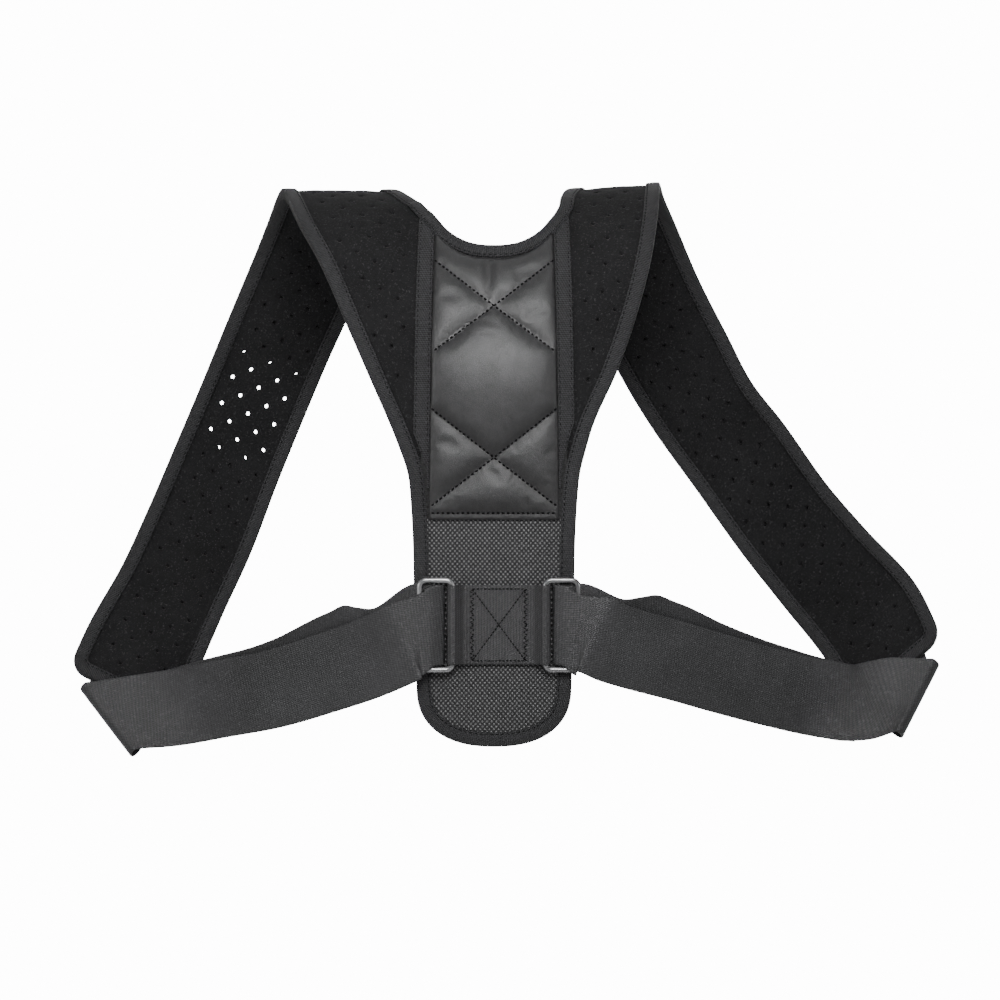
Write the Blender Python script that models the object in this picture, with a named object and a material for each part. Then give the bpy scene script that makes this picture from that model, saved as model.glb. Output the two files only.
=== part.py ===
"""Posture corrector: a padded spine panel, two perforated shoulder pads, and webbing run through two rings.

Metres, +Z up. X runs across the back, +Y points to the wearer's front, and the origin lies between the two
shoulder ridges, at the height of their top edge. The brace keeps the form it has when worn.
"""

import math

import bmesh
import bpy
import numpy as np
from mathutils import Vector
from mathutils.geometry import delaunay_2d_cdt

# Overall form
REACH = 0.290          # sideways, from the centre line to the outermost pad corner
BACK_DEPTH = 0.080     # from the shoulder ridge back to the spine panel
FRONT_DEPTH = 0.090    # from the shoulder ridge forward to the chest
DROP = 0.352           # from the shoulder ridge down to the panel's bottom edge
SHOULDER_ARCH = 0.130  # height over which the back surface curves forward to the ridge

# Cloth thicknesses and clearances
PAD_HALF = 0.0020      # half the neoprene thickness
TAPE_THICK = 0.0009
WEB_THICK = 0.0014
GAP = 0.0003
BINDING_GAP = 0.0005   # between the cloth and the tape folded round its edge
BINDING_WIDTH = 0.0096
BINDING_TURN = 0.0013  # how far the binding's fold stands outside the cloth edge

# Spine panel
ROOT_Z = -0.1765       # where the wings end and the panel takes the full width
SEAM_HALF_TOP = 0.0412
SEAM_HALF_ROOT = 0.0452
ROOT_HALF = 0.0540
WAIST_HALF = 0.0502
WAIST_RUN = 0.0720     # height over which the panel narrows from root to waist
HEM_HALF = 0.0484
HEM_Z = -0.3150        # where the bottom corners begin to round
HEM_ROUND = 2.35       # exponent of the bottom's rounded outline
NECK_Z = -0.0160       # height of the two neck corners
NECK_DIP = 0.0233
PANEL_HALF_EDGE = 0.0020
PANEL_HALF_MID = 0.0030
LEVEL_STEP = 0.0085    # height between the panel's rows of points
SEAM_TAPE_WIDTH = 0.0100

# Quilted facing
LEATHER_THICK = 0.0010
LEATHER_PUFF = 0.0026
LEATHER_BOTTOM = -0.2110
QUILT_TOP = (-0.0500, -0.1075)     # top and bottom of the upper stitched cross
QUILT_LOW = (-0.1416, -0.2030)

# Webbing and rings
WEB_WIDTH = 0.0500
RING_HEIGHT = 0.0588
RING_WIDTH = 0.0240
RING_BAR = 0.0036
RING_Z = -0.2758
RING_STAND = 0.0092    # from the back surface out to the middle of a ring's bar
RING_Y = -(BACK_DEPTH + RING_STAND)
RING_SPACING = 0.0388  # from the middle of the cross webbing to each ring's middle
CROSS_SHIFT = 0.0030   # the cross webbing sits a little off the centre line
CROSS_HALF_HEIGHT = 0.0246
SEWN_LENGTH = 0.0630   # webbing sewn on the pad's outer face
FOLD_BULGE = 0.0030    # how far the webbing's fold stands out past the fold line
FREE_END = 0.0400      # from the fold to the free end of the layer behind
LEFT_INSET = 0.0155    # from the pad's lateral edge to the webbing
LEFT_FOLD_START = 0.0055
LEFT_FOLD_ANGLE = math.radians(26.6)
RIGHT_INSET = 0.0155
RIGHT_FOLD_START = 0.0090
RIGHT_FOLD_ANGLE = math.radians(22.5)
TUCK_REACH = 0.0126    # how far past a ring's outer bar the webbing dips into the slot
TUCK_DROP = 0.0062     # how far below the ring's middle the webbing arrives

# Perforations
HOLE_DIAMETER = 0.0033
HOLE_ROW = 0.0189      # spacing along the strap
HOLE_ACROSS = 0.0189
HOLE_SIDES = 6
PAD_ROWS = 46

# Pad sections: name, then the lateral edge across, depth, height, then the medial edge in the same order, as
# shares of REACH, of the back or front depth, and of DROP. A seam section's medial edge lies on the panel.
PAD_LEFT = (
    ("root", 0.188, -1.000, -0.5080, "seam", 0, -0.502),
    ("low wing", 0.212, -1.000, -0.4550, "seam", 0, -0.443),
    ("mid wing", 0.269, -0.998, -0.3460, "seam", 0, -0.321),
    ("high wing", 0.318, -0.950, -0.2540, "seam", 0, -0.216),
    ("blade", 0.379, -0.787, -0.1410, "seam", 0, -0.105),
    ("neck corner", 0.424, -0.600, -0.0740, 0.1430, -0.500, -0.053),
    ("behind ridge", 0.455, -0.275, -0.0240, 0.1860, -0.275, -0.020),
    ("ridge", 0.474, 0.000, -0.0030, 0.2180, 0.000, -0.005),
    ("over ridge", 0.493, 0.267, -0.0120, 0.2390, 0.340, -0.021),
    ("collar", 0.515, 0.489, -0.0440, 0.2660, 0.622, -0.077),
    ("upper chest", 0.553, 0.733, -0.1050, 0.3160, 0.850, -0.178),
    ("chest", 0.621, 0.889, -0.2290, 0.3900, 0.980, -0.310),
    ("low chest", 0.677, 0.911, -0.3400, 0.4460, 1.000, -0.419),
    ("rib", 0.731, 0.867, -0.4480, 0.4980, 0.960, -0.526),
    ("side", 0.796, 0.711, -0.5830, 0.5610, 0.790, -0.670),
    ("low side", 0.848, 0.533, -0.6860, 0.6150, 0.556, -0.776),
    ("hem", 0.918, 0.333, -0.7980, 0.6740, 0.289, -0.899),
    ("tip", 0.957, 0.200, -0.8770, 0.7120, 0.133, -0.974),
)
PAD_RIGHT = (
    ("root", 0.187, -1.000, -0.5080, "seam", 0, -0.502),
    ("low wing", 0.212, -1.000, -0.4360, "seam", 0, -0.430),
    ("mid wing", 0.265, -0.996, -0.3370, "seam", 0, -0.312),
    ("high wing", 0.304, -0.943, -0.2460, "seam", 0, -0.207),
    ("blade", 0.339, -0.787, -0.1410, "seam", 0, -0.105),
    ("neck corner", 0.356, -0.571, -0.0660, 0.1400, -0.486, -0.046),
    ("behind ridge", 0.365, -0.275, -0.0130, 0.1480, -0.275, -0.016),
    ("ridge", 0.371, 0.000, 0.0090, 0.1680, 0.000, -0.004),
    ("over ridge", 0.385, 0.289, -0.0080, 0.1860, 0.356, -0.031),
    ("collar", 0.414, 0.533, -0.0490, 0.2010, 0.670, -0.110),
    ("upper chest", 0.470, 0.778, -0.1440, 0.2300, 0.890, -0.223),
    ("chest", 0.542, 0.900, -0.2550, 0.3060, 0.980, -0.350),
    ("low chest", 0.592, 0.922, -0.3340, 0.3680, 1.000, -0.432),
    ("rib", 0.669, 0.911, -0.4170, 0.4590, 0.970, -0.537),
    ("side", 0.772, 0.800, -0.5400, 0.5740, 0.840, -0.672),
    ("low side", 0.851, 0.667, -0.6190, 0.6550, 0.667, -0.760),
    ("hem", 0.957, 0.400, -0.7230, 0.7520, 0.378, -0.868),
    ("tip", 1.008, 0.222, -0.8190, 0.8070, 0.156, -0.959),
)

# Strap sections from the ring outward: name, across as a share of REACH, depth in shares of BACK_DEPTH,
# height as a share of DROP, and lean of the width in degrees.
STRAP_LEFT = (
    ("ring side", 0.1900, -1.160, -0.8130, 13.0),
    ("panel edge", 0.2220, -1.110, -0.8260, 14.0),
    ("hip", 0.2560, -1.020, -0.8390, 14.5),
    ("waist", 0.3660, -0.720, -0.8730, 14.0),
    ("flank", 0.4860, -0.430, -0.9050, 12.0),
    ("side", 0.6030, -0.170, -0.9260, 10.5),
    ("lap", 0.7230, 0.035, -0.9460, 9.5),
)
STRAP_RIGHT = (
    ("ring side", 0.2120, -1.160, -0.8000, 14.0),
    ("panel edge", 0.2440, -1.110, -0.8120, 14.5),
    ("hip", 0.2820, -1.010, -0.8230, 15.0),
    ("waist", 0.3960, -0.720, -0.8510, 15.5),
    ("flank", 0.5120, -0.430, -0.8810, 16.0),
    ("side", 0.6310, -0.170, -0.9090, 14.0),
    ("lap", 0.7210, 0.005, -0.9270, 9.0),
    ("tuck", 0.8100, 0.050, -0.9360, 2.0),
)

# The webbing's turn round a ring's outer bar: share of TUCK_REACH past the bar, share of the turn's radius forward,
# share of TUCK_DROP down, and share of the lean kept.
TUCK = (
    (0.00, -1.00, 1.00, 0.35),
    (0.20, -0.99, 0.74, 0.26),
    (0.40, -0.94, 0.36, 0.12),
    (0.58, -0.66, 0.08, 0.03),
    (0.76, -0.25, 0.00, 0.00),
    (0.90, 0.10, 0.00, 0.00),
    (0.98, 0.34, 0.00, 0.00),
    (1.00, 0.56, 0.00, 0.00),
    (0.97, 0.80, 0.00, 0.00),
    (0.89, 0.96, 0.00, 0.00),
    (0.70, 1.00, -0.02, 0.03),
    (0.40, 1.00, -0.08, 0.15),
    (0.00, 1.00, -0.16, 0.35),
)
# How far the layer behind stands up past the front layer, at runs from the ring.
BACK_RISE = (
    (0.000, 0.0065),
    (0.012, 0.0085),
    (0.035, 0.0120),
    (0.065, 0.0098),
    (0.095, 0.0058),
    (0.125, 0.0034),
    (0.160, 0.0018),
    (0.200, 0.0000),
)


def back_depth_at(z):
    """Depth of the back surface at a height: a quarter ellipse from the ridge, then straight down."""
    share = np.clip(1.0 + np.asarray(z, float) / SHOULDER_ARCH, 0.0, 1.0)
    return -BACK_DEPTH * np.sqrt(1.0 - share**2)


def seam_half_at(z):
    """Half the distance between the two seams at a height."""
    share = (np.asarray(z, float) - NECK_Z) / (ROOT_Z - NECK_Z)
    share = np.clip(share, 0.0, 1.0)
    return SEAM_HALF_TOP + (SEAM_HALF_ROOT - SEAM_HALF_TOP) * share**0.55


def panel_half_at(z):
    """Half the full width of the panel below the wings."""
    z = float(z)
    share = min(1.0, max(0.0, (ROOT_Z - z) / WAIST_RUN))
    upper = ROOT_HALF + (WAIST_HALF - ROOT_HALF) * (1 - (1 - share) ** 2)
    low = min(1.0, max(0.0, (ROOT_Z - WAIST_RUN - z) / (ROOT_Z - WAIST_RUN - HEM_Z)))
    return upper + (HEM_HALF - WAIST_HALF) * low


def levels(high, low):
    """Shared heights between two limits, so that faces laid on the back surface bend at the same rows."""
    first = math.ceil(low / LEVEL_STEP)
    last = math.floor(high / LEVEL_STEP)
    return [k * LEVEL_STEP for k in range(last, first - 1, -1)]


def panel_outline(margin):
    """Three runs of (x, z): the right seam side going down, the hem from right to left, and the neck."""
    right = []
    for z in [NECK_Z - 0.0065] + levels(NECK_Z - 0.010, ROOT_Z + 0.004) + [ROOT_Z + 0.0012]:
        spare = 0.0028 * min(1.0, max(0.0, (z + 0.046) / 0.020))
        right.append((float(seam_half_at(z)) - GAP - spare, z))
    lower = []
    for k in range(8):
        z = ROOT_Z - 0.0015 + (HEM_Z - ROOT_Z + 0.0015) * k / 7
        lower.append((panel_half_at(z) - margin, z))
    depth = DROP - margin + HEM_Z
    for k in range(1, 9):
        turn = math.pi / 2 * k / 8
        across = math.cos(turn) ** (2 / HEM_ROUND)
        down = math.sin(turn) ** (2 / HEM_ROUND)
        lower.append(((HEM_HALF - margin) * across, HEM_Z - depth * down))
    hem = lower + [(-x, z) for x, z in reversed(lower[:-1])]
    half = SEAM_HALF_TOP - SEAM_TAPE_WIDTH / 2 - GAP
    neck = [(x, neck_at(x) - margin) for x in np.linspace(-half, half, 15)]
    return right, hem, neck


def neck_at(x):
    """Height of the neck edge's outer line at a distance from the centre line."""
    return NECK_Z - NECK_DIP * (1 - abs(x / SEAM_HALF_TOP) ** 2.6)


def smooth(table, count):
    """Rows of numbers run through smoothly: cubic pieces whose slopes come from each row's neighbours."""
    rows = np.array(table, float)
    steps = np.linalg.norm(np.diff(rows[:, :3], axis=0), axis=1)
    t = np.concatenate([[0.0], np.cumsum(steps)])
    slope = np.gradient(rows, t, axis=0)
    at = np.linspace(0.0, t[-1], count)
    k = np.clip(np.searchsorted(t, at, side="right") - 1, 0, len(t) - 2)
    h = (t[k + 1] - t[k])[:, None]
    s = ((at - t[k]) / (t[k + 1] - t[k]))[:, None]
    return (
        (2 * s**3 - 3 * s**2 + 1) * rows[k]
        + (s**3 - 2 * s**2 + s) * h * slope[k]
        + (3 * s**2 - 2 * s**3) * rows[k + 1]
        + (s**3 - s**2) * h * slope[k + 1]
    )


class Pad:
    """One shoulder pad's middle surface, measured flat: a runs in from the lateral edge, b along from the root."""

    def __init__(self, table, side):
        self.side = side
        rows = []
        for _, lx, ly, lz, mx, my, mz in table:
            lateral = (side * lx * REACH, ly * (FRONT_DEPTH if ly > 0 else BACK_DEPTH), lz * DROP)
            if mx == "seam":
                z = mz * DROP
                medial = (side * (float(seam_half_at(z)) + GAP), float(back_depth_at(z)), z)
            else:
                medial = (side * mx * REACH, my * (FRONT_DEPTH if my > 0 else BACK_DEPTH), mz * DROP)
            rows.append([*((np.array(lateral) + medial) / 2), *lateral, *medial])
        dense = smooth(rows, 500)
        self.lateral = dense[:, 3:6]
        self.medial = dense[:, 6:9]
        centre = (self.lateral + self.medial) / 2
        step = np.linalg.norm(np.diff(centre, axis=0), axis=1)
        self.b = np.concatenate([[0.0], np.cumsum(step)])
        self.length = self.b[-1]
        self.width = np.linalg.norm(self.medial - self.lateral, axis=1)
        corner = np.array(rows[5][6:9])
        near = np.linalg.norm(self.medial - corner, axis=1)
        self.corner_b = self.b[int(np.argmin(near))]
        self.ridge_b = self.b[int(np.argmin(np.abs(centre[:, 1])))]
        tangent = np.gradient(centre, self.b, axis=0)
        bend = np.linalg.norm(np.gradient(tangent, self.b, axis=0), axis=1)
        for rail in (self.lateral, self.medial):
            tangent = np.gradient(rail, self.b, axis=0)
            bend = np.maximum(bend, np.linalg.norm(np.gradient(tangent, self.b, axis=0), axis=1))
        bend = np.convolve(np.pad(bend, 12, mode="edge"), np.ones(25) / 25, mode="valid")
        dense_at = np.concatenate([[0.0], np.cumsum(np.sqrt(bend[:-1] + 1.6) * step)])
        even = np.linspace(0.0, dense_at[-1], PAD_ROWS)
        self.rows = np.interp(even, dense_at, self.b)

    def rows_between(self, low, high):
        """Row positions from low to high, closest together where the pad bends most."""
        spare = 0.003
        return [low] + [float(b) for b in self.rows if low + spare < b < high - spare] + [high]

    def row(self, rail, b):
        inside = np.clip(b, 0.0, self.length)
        point = np.array([np.interp(inside, self.b, rail[:, k]) for k in range(3)])
        if b > self.length:
            point = point + (rail[-1] - rail[-12]) / (self.b[-1] - self.b[-12]) * (b - self.length)
        return point

    def width_at(self, b):
        return float(np.interp(b, self.b, self.width))

    def at(self, a, b):
        lateral = self.row(self.lateral, b)
        medial = self.row(self.medial, b)
        return lateral + (medial - lateral) * a / self.width_at(b)

    def out(self, a, b):
        """The unit normal on the outer side, away from the wearer."""
        step = 0.002
        along = self.at(a, b + step) - self.at(a, max(b - step, 0.0))
        across = self.at(a + step, b) - self.at(a - step, b)
        normal = np.cross(across, along) if self.side < 0 else np.cross(along, across)
        return normal / np.linalg.norm(normal)


def add_object(name, verts, faces, material, smooth_angle=None):
    mesh = bpy.data.meshes.new(name)
    mesh.from_pydata([tuple(float(c) for c in v) for v in verts], [], faces)
    shape = bmesh.new()
    shape.from_mesh(mesh)
    bmesh.ops.recalc_face_normals(shape, faces=shape.faces)
    if smooth_angle is not None:
        for face in shape.faces:
            face.smooth = True
        for edge in shape.edges:
            edge.smooth = edge.calc_face_angle(0.0) < smooth_angle
    shape.to_mesh(mesh)
    shape.free()
    made = bpy.data.objects.new(name, mesh)
    bpy.context.scene.collection.objects.link(made)
    mesh.materials.append(material)
    return made


def make_material(name, color, roughness, metallic=0.0):
    made = bpy.data.materials.new(name)
    made.use_nodes = True
    shader = made.node_tree.nodes["Principled BSDF"]
    shader.inputs["Base Color"].default_value = (*color, 1.0)
    shader.inputs["Roughness"].default_value = roughness
    shader.inputs["Metallic"].default_value = metallic
    return made


def flat_triangles(outline, holes, inner):
    """Triangles of a flat outline with holes cut out and extra points inside it."""
    verts = []
    edges = []
    for loop in [outline] + holes:
        first = len(verts)
        verts += [Vector(p) for p in loop]
        edges += [(first + k, first + (k + 1) % len(loop)) for k in range(len(loop))]
    verts += [Vector(p) for p in inner]
    points, _, faces, _, _, _ = delaunay_2d_cdt(verts, edges, [], 0, 1e-7)
    points = np.array([tuple(p) for p in points])
    kept = []
    for face in faces:
        middle = points[list(face)].mean(axis=0)
        if not inside(middle, outline):
            continue
        if any(inside(middle, hole) for hole in holes):
            continue
        kept.append(tuple(face))
    return points, kept


def inside(point, loop):
    x, y = point
    found = False
    for k in range(len(loop)):
        x0, y0 = loop[k]
        x1, y1 = loop[(k + 1) % len(loop)]
        if (y0 > y) != (y1 > y) and x < (x1 - x0) * (y - y0) / (y1 - y0) + x0:
            found = not found
    return found


def cloth_solid(name, points, faces, near, far, material):
    """A closed body whose two faces are the flat triangles mapped by near and far."""
    count = len(points)
    verts = [near(a, b) for a, b in points] + [far(a, b) for a, b in points]
    seen = {}
    for face in faces:
        for k in range(len(face)):
            pair = (face[k], face[(k + 1) % len(face)])
            seen[pair] = seen.get(pair, 0) + 1
    quads = []
    for i, j in seen:
        if (j, i) not in seen:
            quads.append((i, j, j + count, i + count))
    under = [tuple(v + count for v in reversed(face)) for face in faces]
    return add_object(name, verts, list(faces) + under + quads, material, math.radians(50))


def sweep(name, rings, closed, material, smooth_angle=math.radians(50)):
    """A body from equal rings of points, joined in turn; open runs get flat ends."""
    size = len(rings[0])
    verts = [p for ring in rings for p in ring]
    faces = []
    last = len(rings) if closed else len(rings) - 1
    for r in range(last):
        for k in range(size):
            a = r * size + k
            b = r * size + (k + 1) % size
            c = ((r + 1) % len(rings)) * size + (k + 1) % size
            d = ((r + 1) % len(rings)) * size + k
            faces.append((a, b, c, d))
    if not closed:
        faces.append(tuple(reversed(range(size))))
        faces.append(tuple((len(rings) - 1) * size + k for k in range(size)))
    return add_object(name, verts, faces, material, smooth_angle)


def pad_outline(pad):
    """The pad's flat outline and the run of it that carries the binding, both set in from the outer edge."""
    margin = BINDING_TURN + GAP
    end = pad.length - margin
    tip_round = 0.010
    lateral = [(margin, 0.0012)]
    for b in pad.rows_between(0.0060, end - tip_round):
        lateral.append((margin, b))
    turn = []
    for k in range(1, 5):
        angle = math.pi / 2 * k / 4
        turn.append((margin + tip_round * (1 - math.cos(angle)), end - tip_round * (1 - math.sin(angle))))
    wide = pad.width_at(pad.length) - margin
    across = [(wide - (a - margin), b) for a, b in reversed(turn)]
    medial = []
    for b in reversed(pad.rows_between(pad.corner_b + 0.001, end - tip_round)):
        medial.append((pad.width_at(b) - margin, b))
    seam = []
    for b in reversed(pad.rows_between(0.0012, pad.corner_b - 0.003)):
        seam.append((pad.width_at(b), b))
    bound = lateral + turn + across + medial
    return bound + seam, bound


def pad_holes(pad):
    """Evenly spaced holes on the run over the shoulder and down the front."""
    radius = HOLE_DIAMETER / 2
    keep = BINDING_WIDTH + 0.005
    holes = []
    row = 0
    b = pad.ridge_b + 0.026
    while b < pad.length - 0.020:
        wide = pad.width_at(b)
        for k in (-1, 0, 1):
            a = wide / 2 + k * HOLE_ACROSS
            if keep < a < wide - keep:
                loop = []
                for c in range(HOLE_SIDES):
                    angle = 2 * math.pi * c / HOLE_SIDES
                    loop.append((a + radius * math.cos(angle), b + radius * math.sin(angle)))
                holes.append(loop)
        row += 1
        b += HOLE_ROW
    return holes


def build_pad(name, pad, material):
    outline, _ = pad_outline(pad)
    holes = pad_holes(pad)
    inner = []
    for b in pad.rows_between(0.016, pad.length - 0.012):
        wide = pad.width_at(b)
        for share in (0.34, 0.66):
            a = wide * share
            clear = all(math.dist((a, b), hole[0]) > HOLE_DIAMETER * 1.6 for hole in holes)
            if wide > 0.026 and clear:
                inner.append((a, float(b)))
    points, faces = flat_triangles(outline, holes, inner)
    return cloth_solid(
        name,
        points,
        faces,
        lambda a, b: pad.at(a, b) + pad.out(a, b) * PAD_HALF,
        lambda a, b: pad.at(a, b) - pad.out(a, b) * PAD_HALF,
        material,
    )


def binding_profile(half):
    """The folded tape's section: (inward from the cloth edge, off the cloth's middle), a U round the edge."""
    inner = half + BINDING_GAP
    outer = inner + TAPE_THICK
    deep = BINDING_WIDTH - BINDING_TURN - GAP
    return (
        (deep, outer),
        (-0.0007, outer),
        (-BINDING_TURN, 0.0),
        (-0.0007, -outer),
        (deep, -outer),
        (deep, -inner),
        (-GAP, -inner),
        (-GAP, inner),
        (deep, inner),
    )


def inward(run):
    """Unit inward directions along an open flat run whose cloth lies to its left or right by the sign given."""
    run = np.array(run)
    tangent = np.gradient(run, axis=0)
    tangent /= np.linalg.norm(tangent, axis=1)[:, None]
    return np.stack([tangent[:, 1], -tangent[:, 0]], axis=1)


def build_pad_binding(name, pad, material):
    _, bound = pad_outline(pad)
    turned = inward(bound)
    rings = []
    for (a, b), (da, db) in zip(bound, turned):
        ring = []
        for deep, off in binding_profile(PAD_HALF):
            fa = a + da * deep
            fb = b + db * deep
            ring.append(pad.at(fa, fb) + pad.out(fa, max(fb, 0.0)) * off)
        rings.append(ring)
    return sweep(name, rings, False, material)


def panel_half_thick(x, z):
    """Half the panel's thickness: thin where bound and sewn, fuller towards the middle line."""
    clear = min(panel_half_at(z) - abs(x), LEATHER_BOTTOM - 0.002 - z + 0.010)
    if z < HEM_Z:
        down = (HEM_Z - z) / (DROP + HEM_Z)
        round_share = (abs(x / HEM_HALF) ** HEM_ROUND + abs(down) ** HEM_ROUND) ** (1 / HEM_ROUND)
        clear = min(clear, (1 - round_share) * (DROP + HEM_Z))
    share = min(1.0, max(0.0, (clear - 0.0115) / 0.014))
    share = share * share * (3 - 2 * share)
    return PANEL_HALF_EDGE + (PANEL_HALF_MID - PANEL_HALF_EDGE) * share


def back_frame(z):
    """A point on the back surface's middle line and its outward normal, in depth and height."""
    step = 0.0005
    up = np.array([float(back_depth_at(z + step) - back_depth_at(z - step)), 2 * step])
    up /= np.linalg.norm(up)
    return float(back_depth_at(z)), np.array([-up[1], up[0]])


def on_back(x, z, off):
    y, normal = back_frame(z)
    return np.array([x, y + normal[0] * off, z + normal[1] * off])


def build_panel(material):
    margin = BINDING_TURN + GAP
    right, hem, neck = panel_outline(margin)
    left = [(-x, z) for x, z in right]
    outline = left + list(reversed(hem)) + list(reversed(right)) + list(reversed(neck))
    inner = []
    for z in levels(-0.024, LEATHER_BOTTOM):
        shares = (-0.80, -0.58, -0.29, 0.0, 0.29, 0.58, 0.80) if z > -0.060 else (-0.58, 0.0, 0.58)
        inner += [(k * SEAM_HALF_TOP, z) for k in shares if z < neck_at(k * SEAM_HALF_TOP) - 0.005]
    for z in levels(LEATHER_BOTTOM - 0.003, -DROP + 0.006):
        inner += [(k * WAIST_HALF, z) for k in (-0.72, -0.48, -0.24, 0.0, 0.24, 0.48, 0.72)]
    inner = [p for p in inner if inside(p, outline)]
    points, faces = flat_triangles(outline, [], inner)
    return cloth_solid(
        "spine_panel",
        points,
        faces,
        lambda x, z: on_back(x, z, panel_half_thick(x, z)),
        lambda x, z: on_back(x, z, -PANEL_HALF_EDGE),
        material,
    )


def back_binding(name, run, square_ends, material):
    """A folded tape round an edge of the spine panel, its ends cut upright where they meet the seam tapes."""
    turned = inward(run)
    if square_ends:
        reach = abs(run[0][0])
        for k, (x, _) in enumerate(run):
            share = abs(x / reach) ** 5
            turned[k] = turned[k] * (1 - share) + np.array([0.0, -1.0]) * share
            turned[k] /= np.linalg.norm(turned[k])
    rings = []
    for (x, z), (dx, dz) in zip(run, turned):
        ring = []
        for deep, off in binding_profile(PANEL_HALF_EDGE):
            ring.append(on_back(x + dx * deep, z + dz * deep, off))
        rings.append(ring)
    return sweep(name, rings, False, material)


def build_seam_tape(name, side, material):
    """A flat ribbed tape over the seam, its outer edge tapering in where the binding meets it."""
    rings = []
    top = NECK_Z - 0.0040
    bottom = ROOT_Z - 0.0150
    low = PANEL_HALF_EDGE + 2 * GAP
    for z in [top] + levels(top - 0.0075, bottom + 0.003) + [bottom]:
        seam = float(seam_half_at(z))
        inner = seam - SEAM_TAPE_WIDTH / 2
        outer = seam + SEAM_TAPE_WIDTH / 2
        armhole = armhole_half(z, side) - BINDING_WIDTH - 2 * GAP - 0.0014
        outer = min(outer, armhole)
        outer = max(outer, inner + 0.0012)
        slant = 0.0050 if z == top else 0.0
        rings.append([
            on_back(side * inner, z - slant, low),
            on_back(side * outer, z, low),
            on_back(side * outer, z, low + TAPE_THICK),
            on_back(side * inner, z - slant, low + TAPE_THICK),
        ])
    return sweep(name, rings, False, material)


def armhole_half(z, side):
    """Half width to the outer edge at a height on the back: the wing's lateral edge, then the panel's."""
    if z < ROOT_Z:
        return panel_half_at(z)
    table = PAD_LEFT if side < 0 else PAD_RIGHT
    heights = [row[3] * DROP for row in table[:6]]
    widths = [row[1] * REACH for row in table[:6]]
    return float(np.interp(z, heights, widths)) - 0.0012


def quilt_height(x, z):
    """How far the facing stands up: zero on its edges and stitched crosses, puffed between them."""
    half = facing_half(z)
    close = min(half - abs(x), z - LEATHER_BOTTOM - 0.002, neck_at(x) - BINDING_WIDTH - z)
    for top, bottom in (QUILT_TOP, QUILT_LOW):
        share = (top - z) / (top - bottom)
        if 0 <= share <= 1:
            slope = 2 * half / (top - bottom)
            for way in (share, 1 - share):
                close = min(close, abs(x + half - 2 * half * way) / math.hypot(1.0, slope))
        else:
            beyond = max(z - top, bottom - z)
            for corner in (-half, half):
                close = min(close, math.hypot(x - corner, beyond))
    share = min(1.0, max(0.0, close) / 0.014)
    return LEATHER_PUFF * math.sin(math.pi / 2 * share) ** 0.8


def build_leather(material):
    reach = float(seam_half_at(-0.035)) - SEAM_TAPE_WIDTH / 2 - 2 * GAP
    top = []
    for x in np.linspace(-reach, reach, 13):
        lean = 0.0016 * min(1.0, abs(x) / 0.020)
        top.append((float(x), neck_at(x) - BINDING_WIDTH - 2 * GAP - 0.0012 - lean))
    sides = []
    for z in levels(top[-1][1] - 0.003, LEATHER_BOTTOM + 0.003) + [LEATHER_BOTTOM]:
        sides.append((facing_half(z), z))
    low = [(x, LEATHER_BOTTOM) for x in np.linspace(sides[-1][0], -sides[-1][0], 10)[1:-1]]
    outline = top + sides + low + [(-x, z) for x, z in reversed(sides)]
    inner = []
    for z in levels(-0.030, LEATHER_BOTTOM + 0.003):
        for x in np.linspace(-0.032, 0.032, 10):
            if z < neck_at(x) - BINDING_WIDTH - 0.006:
                inner.append((float(x), z))
    points, faces = flat_triangles(outline, [], inner)
    base = PANEL_HALF_EDGE + GAP
    return cloth_solid(
        "quilted_facing",
        points,
        faces,
        lambda x, z: on_back(x, z, base + LEATHER_THICK + quilt_height(x, z)),
        lambda x, z: on_back(x, z, base),
        material,
    )


def facing_half(z):
    """Half the facing's width, between the seam tapes."""
    return float(seam_half_at(z)) - SEAM_TAPE_WIDTH / 2 - GAP


def build_ring(name, middle, material):
    """A rectangular ring of round bar with turned corners."""
    corner = 0.0036
    sides = 8
    bar = RING_BAR / 2
    half_w = RING_WIDTH / 2 - bar
    half_h = RING_HEIGHT / 2 - bar
    path = []
    for sx, sz, start in ((1, 1, 0.0), (-1, 1, 0.5), (-1, -1, 1.0), (1, -1, 1.5)):
        for k in range(3):
            angle = math.pi * (start + 0.5 * k / 2)
            path.append((
                sx * (half_w - corner) + corner * math.cos(angle),
                sz * (half_h - corner) + corner * math.sin(angle),
                angle,
            ))
    rings = []
    for x, z, angle in path:
        ring = []
        for k in range(sides):
            turn = 2 * math.pi * k / sides
            out = bar * math.cos(turn)
            ring.append(np.array([
                middle + x + out * math.cos(angle),
                RING_Y + bar * math.sin(turn),
                RING_Z + z + out * math.sin(angle),
            ]))
        rings.append(ring)
    return sweep(name, rings, True, material)


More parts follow.
